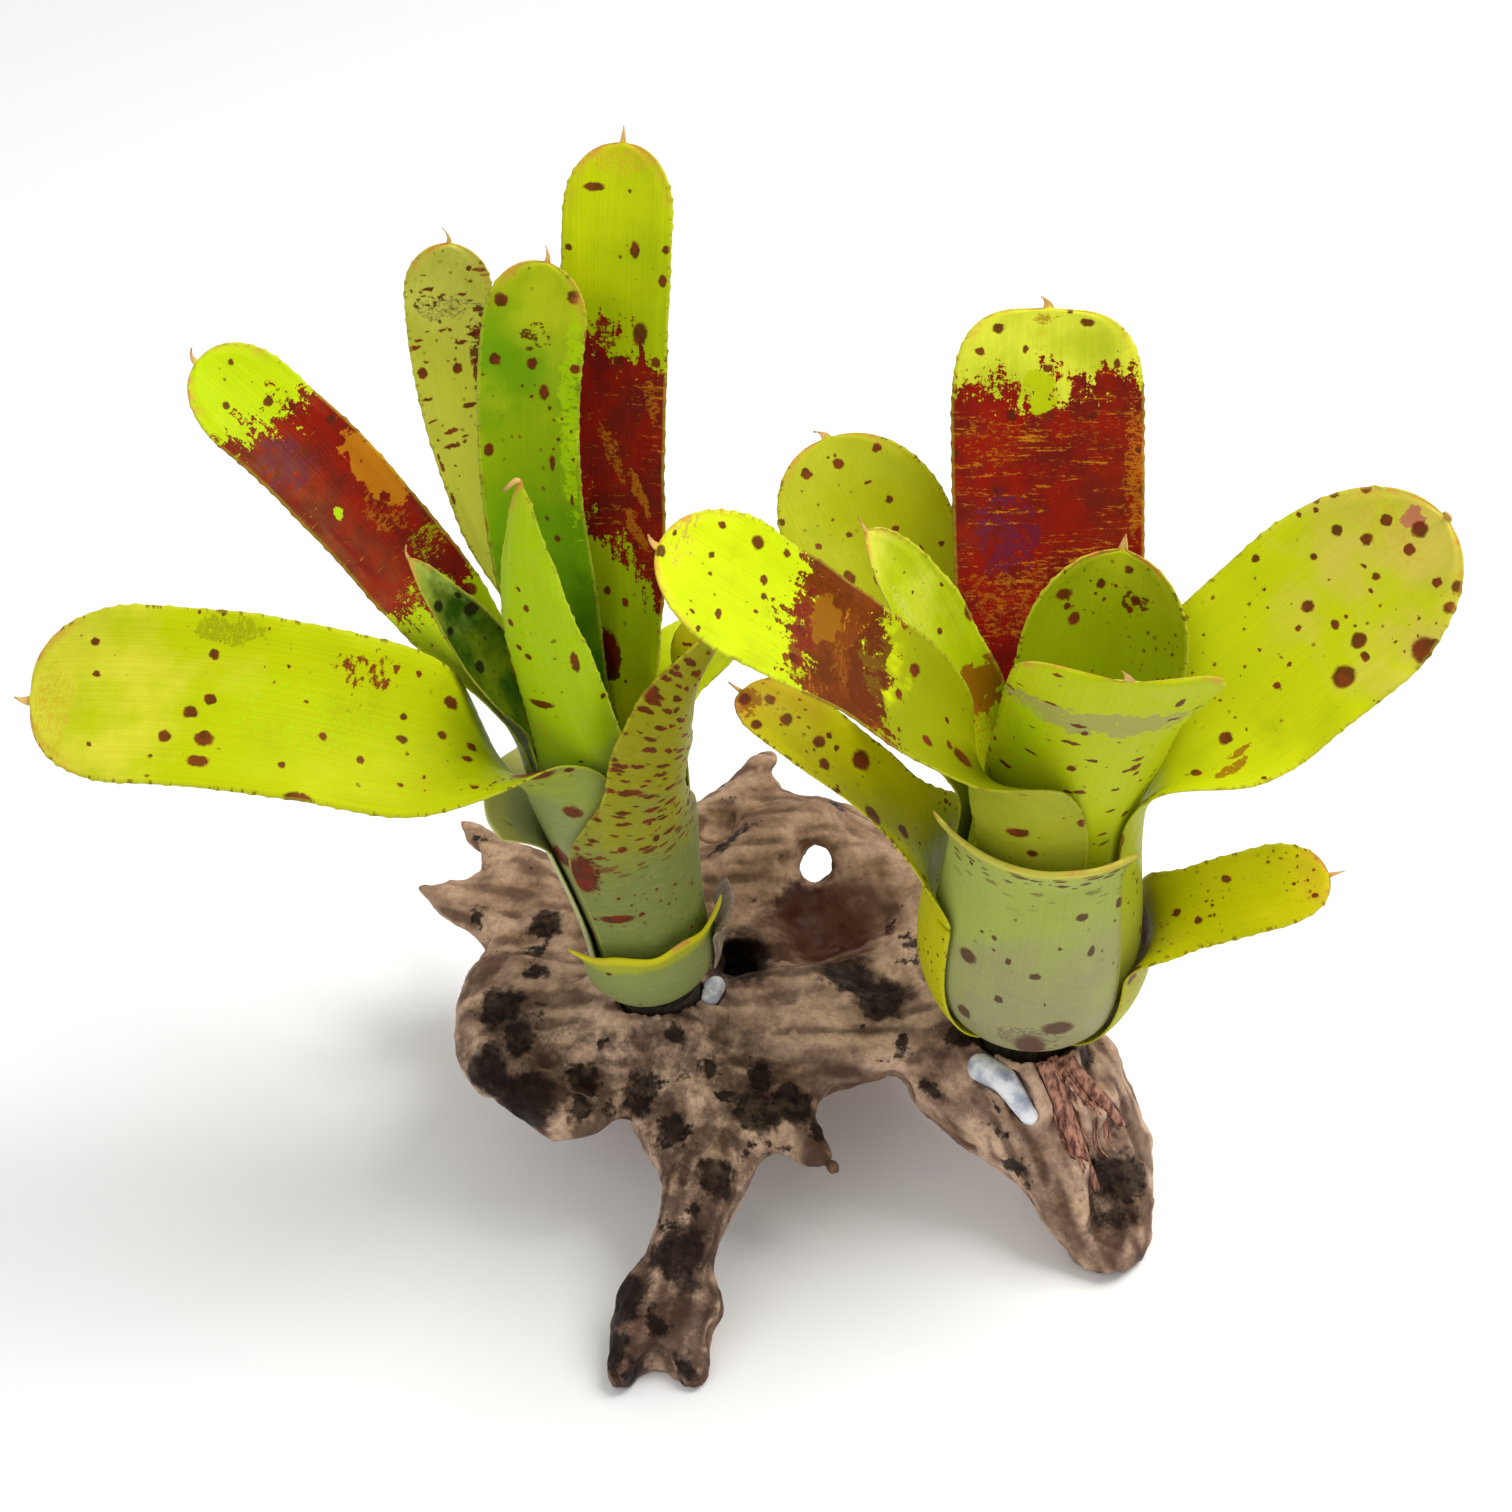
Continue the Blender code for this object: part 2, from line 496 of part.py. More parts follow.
def stem_profile(plant, extra):
    """Radius and height pairs of the stem, made larger by the extra."""
    core = plant["stem_radius"] - 0.45 + extra
    crown = STEM_CROWN + extra
    return [(0.0, -STEM_FOOT - extra), (crown - 2.5, -STEM_FOOT - extra), (crown, -STEM_FOOT + 3.0),
            (crown, -0.7), (crown - 1.0, -SEAT_GAP), (core, -SEAT_GAP), (core, STEM_TOP - 2.0),
            (core - 1.5, STEM_TOP), (0.0, STEM_TOP + 0.6)]


def seat_profile(plant):
    """Radius and height pairs of the room a plant needs in the wood."""
    gap = SEAT_GAP
    crown = STEM_CROWN + gap
    rows = [(0.0, -STEM_FOOT - gap), (crown - 2.3, -STEM_FOOT - gap), (crown, -STEM_FOOT + 2.8)]
    inner = plant["stem_radius"] + gap
    for angle in range(30, 91, 15):
        a = math.radians(angle)
        rows.append((inner + (plant["belly_radius"] - inner + gap) * math.sin(a),
                     plant["belly_height"] - (plant["belly_height"] + gap) * math.cos(a)))
    top = plant["belly_height"] + 15.0
    return rows + [(plant["belly_radius"] + gap, top), (0.0, top)]


def height_at(wood, x, y):
    """Height of the wood under a point, in millimetres."""
    hit, place, _, _ = wood.ray_cast(Vector((x * MM, y * MM, 0.2)), Vector((0.0, 0.0, -1.0)))
    return place.z / MM if hit else 30.0


def laid_limb(wood, path, sink, extra):
    """Chain of balls along a path, sunk a little into the wood."""
    return [((x, y, height_at(wood, x, y) + radius * sink), radius + extra, 1.0) for x, y, radius in path]


def build_laid_body(name, wood, paths, sink, extra):
    """Strands or beads that lie on the wood, grown into one mesh."""
    mesh = limb_mesh(name, [laid_limb(wood, path, sink, extra) for path in paths])
    ob = bpy.data.objects.new(name, mesh)
    bpy.context.scene.collection.objects.link(ob)
    grow = ob.modifiers.new("Grow together", "REMESH")
    grow.mode = "VOXEL"
    grow.voxel_size = ROOT_GRAIN * MM
    thin = ob.modifiers.new("Fewer faces", "DECIMATE")
    thin.ratio = 0.3
    settle(ob)
    body = ob.data
    bpy.data.objects.remove(ob, do_unlink=True)
    return body


def floor_cutter(collection, parent):
    """Block under the floor plane."""
    bm = bmesh.new()
    bmesh.ops.create_cube(bm, size=1.0)
    bmesh.ops.scale(bm, vec=(0.4, 0.4, 0.02), verts=bm.verts[:])
    bmesh.ops.translate(bm, vec=(0.0, 0.0, -0.01), verts=bm.verts[:])
    mesh = bpy.data.meshes.new("floor_block")
    bm.to_mesh(mesh)
    bm.free()
    return add_cutter("floor_block", mesh, collection, parent)


def seat_everything(wood, collection, tools, parent):
    """Stems, roots and glue, with room for each cut into the wood."""
    stem_brown = plain_material("stem_brown", (0.20, 0.13, 0.06), 0.7)
    root_brown = plain_material("root_brown", (0.22, 0.10, 0.06), 0.8)
    glue_clear = plain_material("glue_pale", (0.75, 0.74, 0.70), 0.2)
    seats = []
    for side, plant in (("left", LEFT_PLANT), ("right", RIGHT_PLANT)):
        add_object(side + "_stem", revolve_mesh(side + "_stem", stem_profile(plant, 0.0), plant, 30),
                   stem_brown, collection, parent)
        seat = revolve_mesh(side + "_seat", seat_profile(plant), plant, 30)
        seats.append(add_cutter(side + "_seat", seat, tools, parent))
    bodies = {
        "right_roots": (ROOT_PATHS, 0.35, root_brown),
        "right_glue": ([RIGHT_GLUE], 0.0, glue_clear),
        "left_glue": ([LEFT_GLUE], 0.0, glue_clear),
    }
    rooms = {}
    for name, (paths, sink, _) in bodies.items():
        room = build_laid_body(name + "_room", wood, paths, sink, SEAT_GAP)
        rooms[name] = add_cutter(name + "_room", room, tools, parent)
    made = {}
    for name, (paths, sink, material) in bodies.items():
        body = build_laid_body(name, wood, paths, sink, 0.0)
        made[name] = add_object(name, body, material, collection, parent)
        for seat in seats:
            cut(made[name], seat)
    cut(made["right_glue"], rooms["right_roots"])
    for tool in seats + list(rooms.values()) + [floor_cutter(tools, parent)]:
        cut(wood, tool, "MANIFOLD")


def centre_on_floor(collection, parent):
    """Bring the middle of the whole over the origin and its foot to the floor."""
    graph = bpy.context.evaluated_depsgraph_get()
    low = Vector((1e9, 1e9, 1e9))
    high = -low
    for ob in collection.objects:
        if ob.type != "MESH":
            continue
        shape = ob.evaluated_get(graph)
        for vert in shape.data.vertices:
            place = shape.matrix_world @ vert.co
            for axis in range(3):
                low[axis] = min(low[axis], place[axis])
                high[axis] = max(high[axis], place[axis])
    parent.location = Vector((-(low.x + high.x) / 2.0, -(low.y + high.y) / 2.0, -low.z))


def clear_scene():
    """Start from an empty scene."""
    for ob in list(bpy.data.objects):
        bpy.data.objects.remove(ob, do_unlink=True)


clear_scene()
parts = bpy.data.collections.new("neoregelia_on_driftwood")
tools = bpy.data.collections.new("cutting_bodies")
bpy.context.scene.collection.children.link(parts)
bpy.context.scene.collection.children.link(tools)
root = bpy.data.objects.new("neoregelia_mount", None)
parts.objects.link(root)
driftwood = build_wood(plain_material("driftwood_brown", (0.16, 0.09, 0.055), 0.75), parts, tools, root)
seat_everything(driftwood, parts, tools, root)
leaf_green = plain_material("leaf_green", (0.42, 0.55, 0.03), 0.4)
leaf_banded = plain_material("leaf_banded", (0.30, 0.10, 0.02), 0.4)
bract_papery = plain_material("bract_papery", (0.45, 0.38, 0.24), 0.8)
for plant, leaves in ((LEFT_PLANT, LEFT_LEAVES), (RIGHT_PLANT, RIGHT_LEAVES)):
    for leaf in leaves:
        stock = leaf_green
        if "banded" in leaf["name"]:
            stock = leaf_banded
        if "bract" in leaf["name"]:
            stock = bract_papery
        build_leaf(plant, leaf, stock, parts, root)
bpy.context.view_layer.update()
centre_on_floor(parts, root)
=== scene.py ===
"""Two small neoregelia rosettes rooted on a piece of driftwood, on a pale floor."""

import json
import math
import random

import bmesh
import bpy
from mathutils import Matrix, Vector, noise
from mathutils.bvhtree import BVHTree

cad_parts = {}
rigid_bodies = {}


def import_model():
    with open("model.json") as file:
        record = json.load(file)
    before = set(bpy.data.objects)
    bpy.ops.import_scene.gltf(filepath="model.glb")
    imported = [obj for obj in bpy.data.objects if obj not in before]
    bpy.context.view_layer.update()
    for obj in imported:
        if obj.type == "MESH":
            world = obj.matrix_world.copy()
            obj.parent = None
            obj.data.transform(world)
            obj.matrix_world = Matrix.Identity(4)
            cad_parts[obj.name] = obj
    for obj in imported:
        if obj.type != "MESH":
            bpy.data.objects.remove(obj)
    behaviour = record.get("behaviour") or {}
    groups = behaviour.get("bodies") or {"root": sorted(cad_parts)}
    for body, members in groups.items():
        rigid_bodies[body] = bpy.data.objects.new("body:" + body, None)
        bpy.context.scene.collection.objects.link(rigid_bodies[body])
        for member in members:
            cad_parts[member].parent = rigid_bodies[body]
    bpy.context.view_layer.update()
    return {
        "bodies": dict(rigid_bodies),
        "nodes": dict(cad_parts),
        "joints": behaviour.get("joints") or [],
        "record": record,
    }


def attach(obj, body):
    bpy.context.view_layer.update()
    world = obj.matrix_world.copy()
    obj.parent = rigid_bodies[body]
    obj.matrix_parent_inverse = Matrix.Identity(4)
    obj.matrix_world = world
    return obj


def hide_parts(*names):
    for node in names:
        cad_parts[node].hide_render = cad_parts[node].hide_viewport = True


MM = 0.001

# From the plants' own frame, in millimetres, to the middle of the whole
MIDDLE = Vector((3.075, 11.991, 0.0))

# Leaf stock in millimetres: it thins over the margin's width to a share of its thickness
LEAF_THICKNESS = 0.9
MARGIN_WIDTH = 3.0
MARGIN_SHARE = 0.4

# Tube of nested sheaths, in millimetres: step inward of a level and gap at the stem. One
# facet of the tube is FACET_ANGLE degrees.
SHEATH_PITCH = 1.35
SEAT_GAP = 0.35
FACET_ANGLE = 24.0

# Angle up the bowl of the tube, in degrees, where a leaf starts, by its skip
BOWL_STARTS = (0.0, 32.0, 62.0, 90.0)

# Mesh of a leaf: columns across, rows of the bowl and the spine, and steps of the rest in
# millimetres
LEAF_COLUMNS = 36
BOWL_ROWS = 14
SPINE_ROWS = 6
NECK_STEP = 1.3
TRIM_STEP = 0.7
ROW_STEP = 0.85

# Fine form of a leaf, in millimetres. Teeth stand TOOTH_ROWS rows apart, and a cut rim is
# uneven by RAGGED_RIM of its rise.
WAVE_HEIGHT = 0.9
RIPPLE_HEIGHT = 1.0
TOOTH_ROWS = 3
TOOTH_SIZES = (0.03, 0.26)
SPINE_LENGTH = 3.0
RAGGED_RIM = 0.22

# Millimetres to one unit of a leaf's map
MAP_SCALE = 100.0

# Corners of the plain solids that are nearer than this, in metres, are one corner
SAME_CORNER = 0.000001

# Fine form of the wood, in millimetres. Noise over PIT_START is a pit, and near the floor
# nothing is pushed outward.
PIT_START = 0.28
PIT_DEPTH = 3.2
FOOT_HEIGHT = 1.5

# Wiry roots: radius of one in millimetres, how many in a bundle, and points along each
STRAND_RADIUS = 0.4
STRANDS_IN_BUNDLE = 18
STRAND_POINTS = 12

# Picture: the camera's place in metres, its tilt up from straight down in degrees, and its
# lens in millimetres
CAMERA_PLACE = (0.0, -0.4334, 0.4336)
CAMERA_TILT = 52.0
CAMERA_LENS = 65.476

# Light: the even light of the studio, and lamps with place, size and power that look at
# one point
WORLD_LIGHT = 0.57
LAMPS = [
    ("key", (0.5, 0.1, 1.0), 0.7, 10.0),
    ("fill", (-0.7, -0.8, 0.8), 1.0, 3.0),
]
LAMP_TARGET = Vector((0.0, 0.0, 0.08))

# Half of the floor's side, in metres
FLOOR_HALF = 6.0

# Plants: base point, direction of the axis, and the outline of the leaf tube
LEFT_PLANT = {
    "base": (-20.5, -12.0, 45.0),
    "axis": (-0.17, 0.0, 1.0),
    "stem_radius": 4.0,
    "belly_radius": 14.8,
    "belly_height": 14.0,
    "neck_radius": 20.0,
    "neck_height": 66.0,
}
RIGHT_PLANT = {
    "base": (55.0, -24.0, 45.0),
    "axis": (0.02, 0.0, 1.0),
    "stem_radius": 4.5,
    "belly_radius": 23.5,
    "belly_height": 25.0,
    "neck_radius": 21.0,
    "neck_height": 56.0,
}

# Leaves, nearly in order from the outermost level inward. A leaf starts at a facet of the
# tube, counted from +X toward +Y, spans a few facets and leaves the tube at its neck. A cut
# leaf has the rise and flare of its rim. A blade has its half width and how much its waist
# narrows, a lead straight on from the neck, a shoulder and a tip as points in the plants' own
# frame, the way its face looks there, how far it cups in degrees, and the way of its spine.
LEFT_LEAVES = [
    dict(name="left_dried_bract", level=-1, first=-1, columns=2, skip=2, neck=15.0, rise=4.0, flare=3.4),
    dict(name="left_leaf_trimmed_base", level=0, first=-6, columns=6, neck=15.0, rise=6.0, flare=2.6),
    dict(name="left_leaf_folded_right", level=1, first=-5, columns=5, neck=44.0, half_width=12.0,
         waist=0.28, lead=24.0, shoulder=(-13.0, -30.0, 124.0), tip=(-4.5, -8.0, 138.0),
         facing=(-0.5, 0.7, 0.4), tip_facing=(-0.6, 0.1, 0.75), cup=38.0, tip_cup=55.0),
    dict(name="left_leaf_outer_sheath", level=2, first=5, columns=4, neck=44.0, rise=10.0, flare=9.0),
    dict(name="left_leaf_right_back", level=2, first=0, columns=4, neck=58.0, half_width=9.0,
         lead=12.0, shoulder=(-8.0, 8.0, 112.0), tip=(-5.0, 13.0, 119.0),
         facing=(-0.7, -0.6, 0.4), tip_facing=(-0.7, -0.6, 0.4), cup=40.0, tip_cup=30.0),
    dict(name="left_leaf_front_long", level=3, first=-7, columns=4, neck=60.0, half_width=17.0,
         waist=0.18, lead=8.5, shoulder=(-86.0, -40.0, 144.5), tip=(-132.0, -33.0, 133.5),
         spine=(-1.0, 0.0, 0.3), facing=(0.12, -0.6, 0.78), tip_facing=(0.0, -0.62, 0.78),
         cup=22.0, tip_cup=16.0),
    dict(name="left_leaf_banded_side", level=4, first=6, columns=3, neck=65.0, half_width=10.8,
         lead=13.0, shoulder=(-73.0, 13.0, 147.5), tip=(-105.0, 18.0, 174.5), spine=(-0.2, 0.1, 1.0),
         facing=(0.45, -0.68, 0.56), tip_facing=(0.35, -0.6, 0.72), cup=28.0, tip_cup=18.0),
    dict(name="left_leaf_tall_banded", level=6, first=0, columns=4, neck=62.0, half_width=10.9,
         lead=16.0, shoulder=(-27.5, 14.0, 165.0), tip=(-24.5, 36.0, 210.5),
         facing=(-0.3, -0.9, 0.3), tip_facing=(-0.2, -0.85, 0.5), cup=32.0, tip_cup=20.0),
    dict(name="left_leaf_front_curled", level=5, first=-6, columns=4, neck=62.0, half_width=11.0,
         waist=0.04, lead=12.0, shoulder=(-44.0, -32.0, 143.0), tip=(-41.5, -24.0, 174.5),
         tip_power=1.5, tip_zone=0.6,
         facing=(0.25, 0.9, 0.3), tip_facing=(0.4, 0.8, 0.3), cup=62.0, tip_cup=50.0,
         spine=(-1.0, -0.2, -0.5)),
    dict(name="left_leaf_narrow_back", level=5, first=3, columns=3, neck=64.0, half_width=8.6,
         lead=20.0, shoulder=(-65.0, 41.0, 146.5), tip=(-58.5, 40.0, 188.0), waist=0.4,
         facing=(0.2, -0.8, 0.5), tip_facing=(0.2, -0.8, 0.5), cup=28.0, tip_cup=18.0,
         spine=(-0.4, 0.2, 1.0)),
    dict(name="left_leaf_inner_left", level=6, first=7, columns=2, neck=64.0, half_width=8.5,
         lead=10.0, shoulder=(-53.5, -9.5, 129.0), tip=(-64.5, -9.0, 148.5), tip_power=1.6, tip_zone=0.6,
         facing=(0.6, -0.5, 0.55), tip_facing=(0.6, -0.5, 0.55), cup=55.0, tip_cup=45.0,
         spine=(-0.1, 0.1, 1.0)),
    dict(name="left_leaf_centre", level=7, first=3, columns=3, neck=66.0, half_width=9.9,
         lead=16.0, shoulder=(-48.5, 7.0, 160.0), tip=(-38.0, 17.0, 196.0), spine=(-0.1, 0.3, 1.0),
         facing=(0.05, -0.95, 0.25), tip_facing=(0.0, -0.85, 0.5), cup=34.0, tip_cup=22.0),
]
RIGHT_LEAVES = [
    dict(name="right_leaf_low_side", level=0, first=-2, columns=3, neck=26.0, half_width=8.8,
         lead=9.0, shoulder=(92.0, -32.0, 84.0), tip=(110.0, -32.0, 91.0),
         facing=(-0.3, -0.45, 0.85), tip_facing=(-0.2, -0.5, 0.85), cup=26.0, tip_cup=18.0),
    dict(name="right_leaf_low_left", level=0, first=5, columns=4, neck=36.0, half_width=9.5,
         lead=8.0, shoulder=(18.0, -22.0, 108.0), tip=(-3.0, -8.0, 117.0),
         facing=(0.6, -0.3, 0.74), tip_facing=(0.5, -0.4, 0.74), cup=40.0, tip_cup=30.0),
    dict(name="right_leaf_trimmed_front", level=1, first=-7, columns=5, neck=52.0, rise=7.0, flare=3.5),
    dict(name="right_leaf_wide_side", level=2, first=-2, columns=3, neck=58.0, half_width=20.3,
         lead=12.0, shoulder=(96.0, -14.0, 126.5), tip=(126.5, -10.0, 158.0), spine=(-0.4, -0.5, 0.8),
         facing=(-0.45, -0.6, 0.66), tip_facing=(-0.4, -0.65, 0.65), cup=26.0, tip_cup=18.0),
    dict(name="right_leaf_banded_left", level=2, first=-6, columns=3, neck=57.0, half_width=14.9,
         lead=20.0, spine=(-0.5, 0.0, 0.9), shoulder=(20.0, -45.0, 147.5), tip=(-17.0, -42.0, 173.0),
         facing=(0.6, -0.25, 0.75), tip_facing=(0.4, -0.4, 0.8), cup=32.0, tip_cup=24.0),
    dict(name="right_leaf_front_cup", level=3, first=-6, columns=5, neck=58.0, half_width=20.0,
         lead=14.0, shoulder=(61.0, -48.0, 134.0), tip=(64.0, -54.0, 153.0), tip_power=5.0, tip_zone=0.2,
         facing=(0.0, 0.9, 0.35), tip_facing=(0.0, 0.9, 0.35), cup=58.0, tip_cup=26.0,
         spine=(-0.5, 0.0, 0.9)),
    dict(name="right_leaf_back_round", level=3, first=4, columns=3, neck=52.0, half_width=17.5,
         lead=12.0, shoulder=(26.0, 14.0, 122.0), tip=(14.0, 36.0, 147.0), spine=(-1.0, 0.1, 0.5),
         facing=(0.15, -0.75, 0.62), tip_facing=(0.1, -0.7, 0.68), cup=26.0, tip_cup=18.0),
    dict(name="right_leaf_tall_banded", level=4, first=2, columns=3, neck=52.0, half_width=18.9,
         lead=16.0, shoulder=(55.5, 17.0, 138.0), tip=(56.5, 38.0, 175.0), tip_power=3.4,
         facing=(0.0, -0.9, 0.42), tip_facing=(0.0, -0.82, 0.56), cup=24.0, tip_cup=14.0,
         spine=(-0.6, 0.1, 0.9)),
    dict(name="right_leaf_inner_left", level=5, first=5, columns=3, neck=54.0, half_width=11.5,
         lead=12.0, shoulder=(34.0, -14.0, 128.3), tip=(20.0, -11.0, 155.8), tip_power=2.0, tip_zone=0.35,
         facing=(0.55, -0.42, 0.72), tip_facing=(0.5, -0.4, 0.75), cup=50.0, tip_cup=45.0),
    dict(name="right_leaf_centre", level=6, first=0, columns=5, neck=56.0, half_width=18.5,
         lead=12.0, shoulder=(66.0, -8.0, 126.0), tip=(69.0, -2.0, 146.0),
         facing=(-0.1, -0.9, 0.4), tip_facing=(-0.1, -0.9, 0.4), cup=55.0, tip_cup=50.0),
]


def paint(colour):
    """Colour as seen on a screen, made linear."""
    out = []
    for part in colour:
        value = part / 255.0
        out.append(value / 12.92 if value <= 0.04045 else ((value + 0.055) / 1.055) ** 2.4)
    return (*out, 1.0)


# Pigments that are drawn over the green of a leaf
PIGMENTS = {
    "spot": (84, 16, 14),
    "ruddy": (112, 22, 18),
    "maroon": (118, 20, 18),
    "dark": (92, 30, 8),
    "night": (26, 8, 10),
    "plum": (100, 14, 46),
    "smudge": (96, 70, 72),
    "gold": (180, 110, 16),
    "brown": (142, 86, 10),
    "tan": (204, 166, 40),
    "olive": (140, 150, 10),
    "lime": (168, 206, 6),
    "leaf": (176, 190, 10),
    "pale": (206, 202, 130),
    # Painted shade: this grey is the dark band under the rim of the front cup leaf
    "shade_grey": (160, 156, 84),
    "blush": (184, 110, 84),
}

# Pigments that lie in coarse grains and cover nearly all that is under them
DARK_PIGMENTS = ("spot", "maroon", "dark", "night", "plum")

# Colours that all leaves share
LEAF_COLOURS = {
    "sunny": (204, 204, 10),
    "scurf": (190, 194, 100),
    "vein": (90, 116, 10),
    "band_grain": (80, 8, 12),
    "margin": (206, 200, 60),
    "margin_dot": (96, 52, 16),
    "rim_flush": (214, 140, 84),
    "tip_flush": (206, 140, 62),
    "spine": (214, 170, 104),
    "spine_point": (112, 60, 34),
}

# Dull and bright red of a band
BAND_REDS = ((102, 4, 16), (136, 4, 8))

# Outside of a plant's sheaths, low and high
SHEATHS = {
    "left": ((96, 106, 30), (134, 142, 88)),
    "right": ((146, 138, 74), (172, 176, 56)),
}

